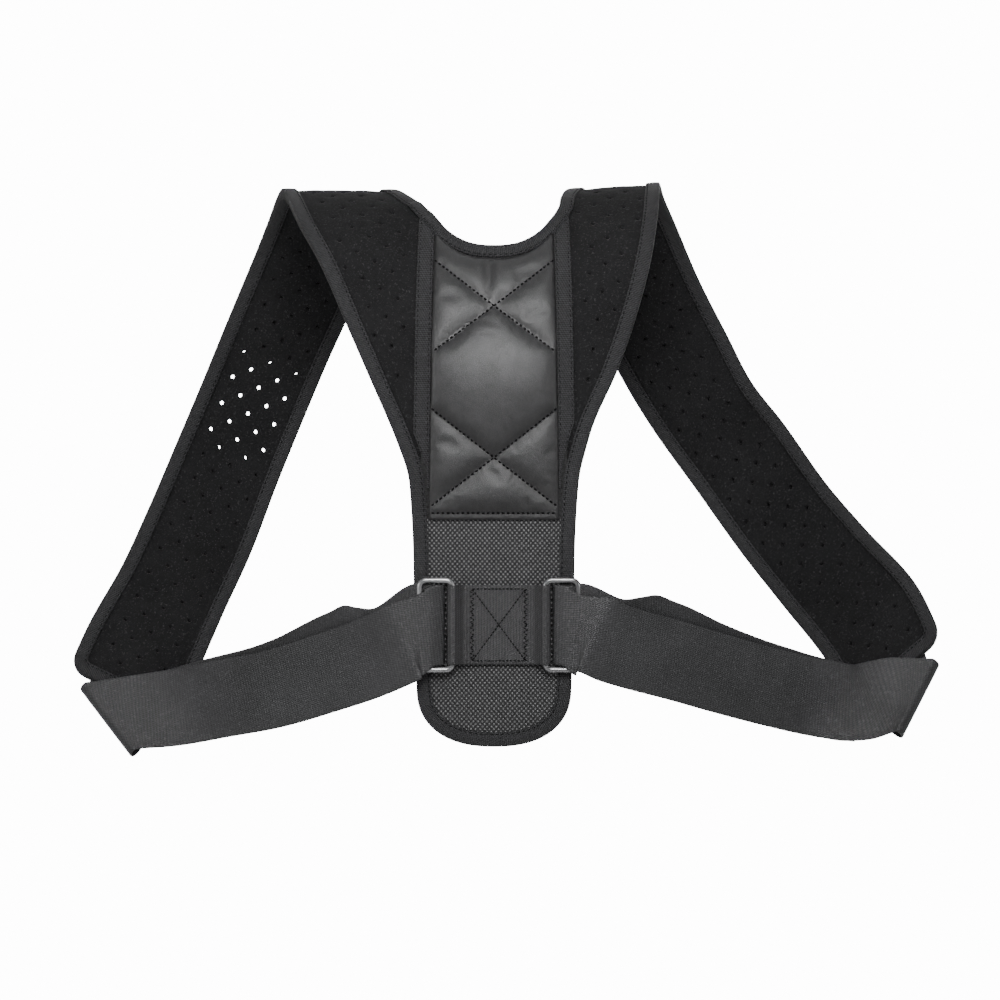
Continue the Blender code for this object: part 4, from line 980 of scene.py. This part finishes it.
def buildFacing():
    # a blown skin's height to a power, plus folds and valleys; then the cloth run's rise, rounded off by a tanh
    low = form["facingBottom"]
    topX = np.linspace(-0.0357, 0.0357, 47)
    top = np.stack([topX, neckAt(topX) - form["tapeWidth"] - 0.0005], axis=1)
    z = np.linspace(top[0, 1] - 0.0015, low + 0.0015, 110)
    right = np.stack([facingHalf(z), z], axis=1)
    half = facingHalf(low) - 0.0004
    bottom = np.stack([np.linspace(half, -half, 47), np.full(47, low)], axis=1)
    outline = np.concatenate([top, right, bottom, (right * [-1, 1])[::-1]])
    half = facingHalf(quilt["rowZ"]) - 0.0006
    seams = [*crossLines(), np.stack([np.linspace(-half, half, 44), np.full(44, quilt["rowZ"])], axis=1)]
    lines = [line[1:-1] for line in seams]
    sewnPoints = np.concatenate(lines)
    inner = lattice((-0.042, low), (0.042, -0.02), quilt["step"], quilt["step"] * 0.87)
    inner = inner[insideLoop(inner, outline)]
    inner = inner[(nearest(inner, sewnPoints) > 0.0011) & (nearest(inner, outline) > 0.0011)]
    flat, tris = flatCloth(outline, inner, lines=lines)
    x, z = flat.T
    sewn, rim = nearest(flat, sewnPoints), nearest(flat, outline)
    held = (sewn < 0.0004) | (rim < 0.0005)
    base = form["panelHalf"] + form["gap"] + form["facingThick"]
    blown = membrane(flat, tris, held) ** quilt["blunt"]
    wrinkle = np.zeros_like(x)
    for n, line in enumerate(lines):  # short folds that run out from each seam, a few millimetres apart and uneven
        ahead = unit(line[-1] - line[0])
        along = (flat - line[0]) @ ahead
        off = (flat - line[0]) @ np.array([-ahead[1], ahead[0]])
        stray = 1.7 * np.sin(along * 140 + n) + off * 120 * math.sin(n + 1.0)
        wave = np.sin(along * 2 * math.pi / quilt["foldPitch"] + stray)
        wrinkle += quilt["folds"] * wave * np.exp(-np.abs(off) / 0.0050) * (0.5 + 0.5 * np.sin(along * 95 + 2.1 * n))
    for x0, z0, x1, z1, depth, wide in quilt["creases"]:  # soft valleys where the leather folds on itself
        line = np.array([x1 - x0, z1 - z0])
        share = ((x - x0) * line[0] + (z - z0) * line[1]) / np.dot(line, line)
        off = ((z - z0) * line[0] - (x - x0) * line[1]) / np.linalg.norm(line) - 0.0012 * np.sin(share * 3.1)
        wrinkle -= depth * np.exp(-((off / wide) ** 2)) * np.sin(math.pi * np.clip(share, 0, 1)) ** 0.7
    wrinkle *= ease(np.minimum(sewn, rim) / 0.004)
    height = quilt["puff"] * blown + wrinkle
    start = onBack(x, z, base + height)
    moved = fillOut(tris, start, held)
    normal = onBack(x, z, np.ones_like(x)) - onBack(x, z, np.zeros_like(x))
    rise = np.einsum("ij,ij->i", moved - start, normal)
    height = np.maximum(height + rise, -0.0003)
    height = np.where(height > 0, quilt["cap"] * np.tanh(height / quilt["cap"]), height)
    slide = moved - start - rise[:, None] * normal
    start = onBack(x, z, base + height) + np.clip(slide, -quilt["slideMax"], quilt["slideMax"])
    print("facing filled out, mean rise", round(float(rise.mean()) * 1000, 2), "mm")
    far = onBack(x, z, np.full_like(x, form["panelHalf"] + form["gap"]))
    verts, faces = closedCloth(start, far, tris)
    uv = np.tile(flat, (2, 1))
    piece = addPiece("quiltedFacing", verts, faces, materials["leather"], ["quilted_facing"], uv)
    # the blown skin's height goes into a second UV layer, which the leather reads for painted shade in the sewn valleys
    corners = np.zeros(len(piece.data.loops), int)
    piece.data.loops.foreach_get("vertex_index", corners)
    level = np.stack([np.tile(blown, 2), np.zeros(2 * len(blown))], axis=1)[corners]
    piece.data.uv_layers.new(name="valleyShadeLevel").data.foreach_set("uv", level.astype(np.float32).ravel())
    runs = []
    for line in seams:
        line, _ = resample(line, 0.0006)
        path = onBack(line[:, 0], line[:, 1], np.full(len(line), base + 0.00025))
        runs.append((path, path - onBack(line[:, 0], line[:, 1], np.zeros(len(line)))))
    seam = stitchPiece("facingStitches", runs, materials["thread"], **quilt["stitch"])


buildFacing()
print("quilted facing sewn down")

# webbing: a flat ribbon with a rib about every two millimetres, thinner at its two woven edges
webLook = {"step": 0.0005, "rib": 0.00004, "patchStitch": {"pitch": 0.0030, "length": 0.0022, "radius": 0.00032}}
webShares = np.array([0.0, 0.15, 0.35, 0.55, 0.75, 0.9, 0.955, 0.985, 1.0])  # across, from the middle
webShares = np.concatenate([-webShares[:0:-1], webShares])
webFull = np.array([1.0, 1.0, 1.0, 1.0, 1.0, 0.92, 1.0, 0.8, 0.45])  # share of the thickness there
webFull = np.concatenate([webFull[:0:-1], webFull])


def buildRibbon(name, node, rows, cloth="webbing"):
    # rows: upper edge, lower edge, then each edge's length coordinate; both faces stand off by half the thickness
    rows, _ = resample(rows, webLook["step"], 3)
    tops, lows, vTop, vLow = rows[:, :3], rows[:, 3:6], rows[:, 6], rows[:, 7]
    middle = (tops + lows) / 2
    ahead = np.gradient(middle, axis=0)
    normal = unit(np.cross(ahead, tops - lows))
    share = (webShares + 1) / 2
    point = lows[:, None] + (tops - lows)[:, None] * share[None, :, None]
    v = vLow[:, None] + (vTop - vLow)[:, None] * share
    slope = np.gradient(vTop - vLow, webLook["step"])
    straight = np.clip(1.3 - np.abs(vTop - vLow) / 0.008, 0, 1) * np.clip(1.5 - np.abs(slope) / 0.5, 0, 1)
    ribs = (np.cos(2 * math.pi * v / cloths[cloth]["ribPitch"]) - 0.3) * np.minimum(1.0, (1 - np.abs(webShares)) * 20)
    off = form["webThick"] / 2 * webFull + webLook["rib"] * straight[:, None] * ribs
    near = point + normal[:, None] * off[..., None]
    far = (point - normal[:, None] * off[..., None])[:, ::-1]
    verts = np.concatenate([near, far], axis=1)
    u = np.broadcast_to(share * form["webWidth"], v.shape)
    uv = np.concatenate([np.stack([u, v], axis=-1), np.stack([u, v], axis=-1)[:, ::-1]], axis=1)
    return addSwept(name, verts, materials[cloth], node, uv)


def crossRows():  # a long loop seen from above: under layer, round each ring's inner bar, and over the front
    bar = form["ringBar"] / 2
    barX = form["ringSpacing"] - form["ringWidth"] / 2 + bar
    turn = bar + form["gap"] + form["webThick"] / 2
    flat = -form["backDepth"] - form["panelHalfMid"] - form["gap"]
    under, over = flat - form["webThick"] * 0.5, flat - form["webThick"] * 1.55
    angle = np.radians(np.linspace(112, -118, 25))
    half = [(0.0015, under), (0.010, under), (0.019, under), (0.0235, under - 0.0003)]
    half += list(zip(barX + turn * np.cos(angle), form["ringY"] + turn * np.sin(angle)))
    half += [(0.0225, over - 0.0012), (0.0195, over - 0.0002), (0.016, over), (0.008, over)]
    path = np.array(half + [(-x, y) for x, y in reversed(half)])
    path, s = resample(path, 0.0004)
    x, y = path[:, 0] + form["crossShift"], path[:, 1]
    z = np.full_like(x, form["ringZ"])
    return np.stack([x, y, z + form["crossHalf"], x, y, z - form["crossHalf"], s, s], axis=1)


crossLook = {"wide": 0.0165, "tall": 0.0222, "zigzagWide": 0.0024, "zigzagPitch": 0.0032,
             "stitch": {"pitch": 0.0023, "length": 0.0019, "radius": 0.00040}}
cross = buildRibbon("crossWebbing", "cross_webbing", crossRows(), "crossCloth")


def zigzag(x, low, high):  # side to side about x, one turn a pitch
    count = int(round((high - low) / crossLook["zigzagPitch"])) * 2
    swing = crossLook["zigzagWide"] / 2 * (-1.0) ** np.arange(count + 1)
    return np.stack([x + swing, np.linspace(low, high, count + 1)], axis=1)


def crossStitches():  # level rows, a cross between them and upright zigzags, just off the webbing's face
    y = -form["backDepth"] - form["panelHalfMid"] - form["gap"] - form["webThick"] * 2.05 - 0.00012
    wide, tall = crossLook["wide"], crossLook["tall"]
    lines = [[(-wide, tall), (wide, tall)], [(-wide, -tall), (wide, -tall)], [(-wide, tall), (wide, -tall)],
             [(wide, tall), (-wide, -tall)], zigzag(-wide, -tall, tall), zigzag(wide, -tall, tall)]
    runs = []
    for line in lines:
        line, _ = resample(np.array(line, float), 0.0003)
        path = np.stack([line[:, 0] + form["crossShift"], np.full(len(line), y), line[:, 1] + form["ringZ"]], axis=1)
        runs.append((path, np.tile([0.0, -1.0, 0.0], (len(path), 1))))
    seam = stitchPiece("crossStitches", runs, materials["thread"], **crossLook["stitch"])
    return seam


crossStitches()


strapLook = {
    "hem": [  # along from the sewn end, lift off the pad, and the length coordinate there
        (0.0110, 0.0001, -0.011), (0.0030, 0.0001, -0.003), (0.0006, 0.0003, -0.0006), (0.0, 0.0008, 0.0),
        (0.0006, 0.0013, 0.0006), (0.0030, 0.00155, 0.003), (0.0110, 0.00150, 0.011), (0.0150, 0.0006, 0.015),
        (0.0190, 0.0, 0.019),
    ],
    "foldSteps": 16, "foldStretch": 1.25, "backSteps": 16, "sewnEnd": 0.0165, "barAt": 0.013, "stitchInset": 0.0035,
    "hemLift": 0.00155, "stitchLift": 0.00012,
}


def strapStations(pad, table, side, inset, foldStart, foldAngle):
    # cross lines in order: turned hem, sewn part, round the tip's fold, to the ring, round its bar and back behind
    halfWeb = form["webThick"] / 2
    over = form["padHalf"] + 2 * form["gap"] + form["tapeThick"] + halfWeb + 0.0004
    rows = []

    def add(top, low, vTop, vLow):
        rows.append([*top, *low, vTop, vLow])

    def lay(b, off, v):  # a line across the pad, lifted off its middle
        add(*(padPoint(pad, a, b) + padOut(pad, a, b) * off for a in (inset, inset + form["webWidth"])), v, v)

    start = pad["length"] - form["sewn"]
    plain = form["padHalf"] + form["gap"] + halfWeb
    for deep, lift, v in strapLook["hem"]:
        lay(start + deep, plain + lift, v)
    for b in np.linspace(start + 0.026, pad["length"] - strapLook["sewnEnd"], 5):
        lay(b, plain, b - start)
    tip = pad["length"]
    for b in (tip - 0.0110, tip - 0.0040):
        lay(b, over, b - start)
    corner = padPoint(pad, 0.0, tip)
    w = unit(padPoint(pad, 0.05, tip) - corner)
    normal = padOut(pad, 0.03, tip)
    along = np.cross(normal, w)
    if np.dot(along, padPoint(pad, 0.03, tip + 0.01) - padPoint(pad, 0.03, tip)) < 0:
        along = -along
    first = corner + w * inset + along * foldStart
    slant = form["webWidth"] * math.tan(foldAngle)
    last = corner + w * (inset + form["webWidth"]) + along * (foldStart + slant)
    vFirst = form["sewn"] + foldStart
    vLast = vFirst + slant
    fold = unit(last - first)
    beyond = unit(along - fold * np.dot(along, fold))
    upper = over
    lower = -(form["padHalf"] + form["gap"] + form["tapeThick"] + 2 * form["webThick"] + halfWeb + 4 * form["gap"])
    arc, turns = (upper - lower) * strapLook["foldStretch"], strapLook["foldSteps"]
    for k in range(turns + 1):
        angle = math.pi * k / turns
        off = normal * ((upper + lower) / 2 + (upper - lower) / 2 * math.cos(angle))
        off = off + beyond * form["foldBulge"] * math.sin(angle)
        add(first + off, last + off, vFirst + arc * k / turns, vLast + arc * k / turns)
    going = w * math.sin(2 * foldAngle) - along * math.cos(2 * foldAngle)
    begin = (first + last) / 2 + normal * lower
    way, leans = [begin - going * 0.032, begin, begin + going * 0.014], []
    for sx, sy, sz, angle in reversed(table):
        way.append(np.array([side * sx * form["reach"], sy * form["backDepth"], sz * form["drop"]]))
        leans.append((np.linalg.norm(way[-1] - begin), angle))
    path = smoothRows(way, 240)
    run = runOf(path)
    run -= run[int(np.argmin(np.linalg.norm(path - begin, axis=1)))]
    tangents = np.gradient(path, run, axis=0)
    flatUp = first - last
    flatUp = unit(flatUp - going * np.dot(flatUp, going))
    tilt = np.radians(np.interp(run, [l[0] for l in leans], [l[1] for l in leans]))
    ups = np.stack([side * np.sin(tilt), 0 * tilt, np.cos(tilt)], axis=1)
    share = ease((run - 0.012) / 0.060)[:, None]
    ups = flatUp * (1 - share) + ups * share
    ups -= tangents * (np.sum(ups * tangents, axis=1) / np.sum(tangents**2, axis=1))[:, None]
    ups = unit(ups)

    def rail(s, part, off=0.0, lift=0.0):
        up, tangent, point = (
            np.array([np.interp(s, run, grid[:, k]) for k in range(3)]) for grid in (ups, tangents, path))
        away = np.cross(tangent, up)
        away *= math.copysign(1.0, away[1]) / np.linalg.norm(away)
        return point + up * (part * form["webWidth"] / 2 + lift) + away * off

    skew = np.dot(first - last, going) / 2
    for s in [0.004, 0.010, 0.017, 0.025, 0.034, 0.044]:
        part = skew * max(0.0, 1 - s / (2.4 * abs(skew)))
        add(rail(s + part, 1.0), rail(s - part, -1.0), vFirst + arc + s + part - skew, vLast + arc + s - part + skew)
    barX = form["crossShift"] + side * (form["ringSpacing"] + form["ringWidth"] / 2 - form["ringBar"] / 2)
    turnRadius = form["ringBar"] / 2 + form["gap"] + halfWeb + 0.0002
    slot = form["webWidth"] / 2 - 0.0002

    def follow(top, low):  # each edge's length coordinate grows by that edge's own run
        *before, vTop, vLow = rows[-1]
        add(top, low, vTop + np.linalg.norm(top - before[:3]), vLow + np.linalg.norm(low - before[3:]))

    for s in np.linspace(0.056, run[-1], 16):
        follow(rail(s, 1.0), rail(s, -1.0))
    for past, forward, down, keep in tuckRows:
        lean = math.radians(table[0][3]) * keep
        reach = np.array([side * math.sin(lean), 0.0, math.cos(lean)]) * slot
        x, y = barX - side * form["tuckReach"] * past, form["ringY"] + turnRadius * forward
        middle = np.array([x, y, form["ringZ"] - form["tuckDrop"] * down])
        follow(middle + reach, middle - reach)
    for k in range(1, strapLook["backSteps"] + 1):
        share = k / strapLook["backSteps"]
        s = run[-1] - 0.004 - (run[-1] - 0.004 - form["freeEnd"]) * share
        spread = 0.0027 + 0.0029 * (1 - share) ** 1.5
        lift = np.interp(run[-1] - s, *np.array(riseRows).T) * min(1.0, k / 3)
        follow(rail(s, 1.0, spread, lift), rail(s, -1.0, spread, lift))
    rows = np.array(rows)
    return np.concatenate([(rows[:, :3] + rows[:, 3:6]) / 2, rows], axis=1)


def buildStrap(word, inset, foldStart, foldAngle):  # with a box and a cross of stitches over its sewn patch
    pad, side = pads[word], -1 if word == "Left" else 1
    stations = strapStations(pad, strapRows[word.lower()], side, inset, foldStart, math.radians(foldAngle))
    dense = smoothRows(stations, 1600)[:, 3:]
    strap = buildRibbon("strap" + word, "strap_" + word.lower(), dense)
    start = pad["length"] - form["sewn"]
    edge = strapLook["stitchInset"]
    left, right = inset + edge, inset + form["webWidth"] - edge
    high, bar, low = start + edge, start + strapLook["barAt"], pad["length"] - strapLook["sewnEnd"]
    lines = [[(left, high), (right, high)], [(left, low), (right, low)], [(left, high), (left, low)],
             [(right, high), (right, low)], [(left, bar), (right, low)], [(right, bar), (left, low)],
             [(left, bar), (right, bar)]]
    runs = []
    for line in lines:
        line, _ = resample(np.array(line, float), 0.0004)
        deep = line[:, 1] - start
        lift = form["padHalf"] + form["gap"] + form["webThick"]
        lift = lift + strapLook["hemLift"] * (1 - ease((deep - 0.010) / 0.008)) + strapLook["stitchLift"]
        out = padOut(pad, line[:, 0], line[:, 1])
        runs.append((padPoint(pad, line[:, 0], line[:, 1]) + out * lift[:, None], out))
    seam = stitchPiece("patchStitches" + word, runs, materials["thread"], **webLook["patchStitch"])


# set in from the pad's outer edge, then where the fold starts past the tip, and its slant in degrees
buildStrap("Left", 0.0155, 0.0055, 26.6)
buildStrap("Right", 0.0155, 0.0090, 22.5)

# rings: round bar bent to a rectangle with rounded corners
ringLook = {"corner": 0.0042, "sides": 20, "turns": 10}


def buildRing(word, middle):
    # four quarter turns joined by straights, with the bar's round section carried along them
    bar = form["ringBar"] / 2
    halfW, halfH = form["ringWidth"] / 2 - bar, form["ringHeight"] / 2 - bar
    corner = ringLook["corner"]
    path = []
    for sx, sz, start in ((1, 1, 0.0), (-1, 1, 0.5), (-1, -1, 1.0), (1, -1, 1.5)):
        angle = math.pi * (start + 0.5 * np.linspace(0, 1, ringLook["turns"]))
        x, z = sx * (halfW - corner) + corner * np.cos(angle), sz * (halfH - corner) + corner * np.sin(angle)
        path += list(zip(x, z, angle))
    x, z, angle = np.array(path).T[..., None]
    turn = 2 * math.pi * np.arange(ringLook["sides"]) / ringLook["sides"]
    out, depth = bar * np.cos(turn), bar * np.sin(turn)
    across, up = middle + x + out * np.cos(angle), form["ringZ"] + z + out * np.sin(angle)
    verts = np.stack([across, form["ringY"] + depth + 0 * x, up], axis=-1)
    addSwept("ring" + word, verts, materials["ring"], "ring_" + word.lower(), closed=True)


buildRing("Left", form["crossShift"] - form["ringSpacing"])
buildRing("Right", form["crossShift"] + form["ringSpacing"])
print("rings bent")

# studio: pale floor well below the brace, white surround, lamps high in front, at each side, overhead and behind
studio = {
    "floorZ": -0.62, "floorHalf": 9.0, "surround": 0.17, "backdrop": 14.0, "aim": (0.0, 0.0, -0.17),
    "lamps": {  # place, size, power, spread in degrees
        "lampFront": ((0.0, -1.15, 0.36), 0.42, 1.35, 60.0),
        "lampLeft": ((-1.35, -0.95, 0.10), 0.5, 6.5, 180.0),
        "lampRight": ((1.35, -0.95, 0.10), 0.5, 3.6, 180.0),
        "lampBehind": ((0.4, 1.6, 0.5), 0.9, 6.0, 180.0),
        "lampTop": ((0.1, -0.1, 1.5), 1.2, 6.0, 180.0),
    },
    "camera": (0.00372, -2.080, -0.1986), "lens": 116.13,
}


def blendPaint(tree, lighting, shown, out):
    # the backdrop is overexposed where it is looked at, and lights the brace softly
    path = tree.nodes.new("ShaderNodeLightPath")
    mix = tree.nodes.new("ShaderNodeMixShader")
    tree.links.new(path.outputs["Is Camera Ray"], mix.inputs[0])
    tree.links.new(lighting.outputs[0], mix.inputs[1])
    tree.links.new(shown.outputs[0], mix.inputs[2])
    tree.links.new(mix.outputs[0], out.inputs["Surface"])


def addToScene(name, data, place=(0.0, 0.0, 0.0)):  # a new object of the data, put at its place
    thing = bpy.data.objects.new(name, data)
    thing.location = place
    bpy.context.scene.collection.objects.link(thing)
    return thing


def buildFloor():
    half, z = studio["floorHalf"], studio["floorZ"]
    floor = bpy.data.meshes.new("studioFloor")
    floor.from_pydata([(-half, -half, z), (half, -half, z), (half, half, z), (-half, half, z)], [], [(0, 1, 2, 3)])
    paint = plainMaterial("floorPaint", (0.92, 0.92, 0.92), (0.8, 0.9), 60.0, 0.0, 0.2, tones=0.005)
    nodes = paint.node_tree.nodes
    glow = nodes.new("ShaderNodeEmission")
    glow.inputs["Strength"].default_value = studio["backdrop"]
    blendPaint(paint.node_tree, nodes["Principled BSDF"], glow, nodes["Material Output"])
    floor.materials.append(paint)
    addToScene("studioFloor", floor)


def buildSurround():
    world = bpy.data.worlds.new("studioWhite")
    world.use_nodes = True
    nodes = world.node_tree.nodes
    seen = nodes.new("ShaderNodeBackground")
    for node, strength in ((nodes["Background"], studio["surround"]), (seen, studio["backdrop"])):
        node.inputs["Color"].default_value = (1.0, 1.0, 1.0, 1.0)
        node.inputs["Strength"].default_value = strength
    blendPaint(world.node_tree, nodes["Background"], seen, nodes["World Output"])
    bpy.context.scene.world = world


def buildLights():  # square lamps, each turned towards the aim
    for name, (place, size, power, spread) in studio["lamps"].items():
        data = bpy.data.lights.new(name, "AREA")
        data.energy, data.size, data.spread = power, size, math.radians(spread)
        lamp = addToScene(name, data, place)
        lamp.rotation_mode = "QUATERNION"
        lamp.rotation_quaternion = (Vector(studio["aim"]) - Vector(place)).to_track_quat("-Z", "Y")


def buildCamera():
    data = bpy.data.cameras.new("backView")
    data.sensor_width, data.lens = 36.0, studio["lens"]
    data.clip_start, data.clip_end = 0.05, 60.0
    camera = addToScene("backView", data, studio["camera"])
    camera.rotation_euler = (math.pi / 2, 0.0, 0.0)
    bpy.context.scene.camera = camera


buildFloor()
buildSurround()
buildLights()
buildCamera()
print("studio lit")
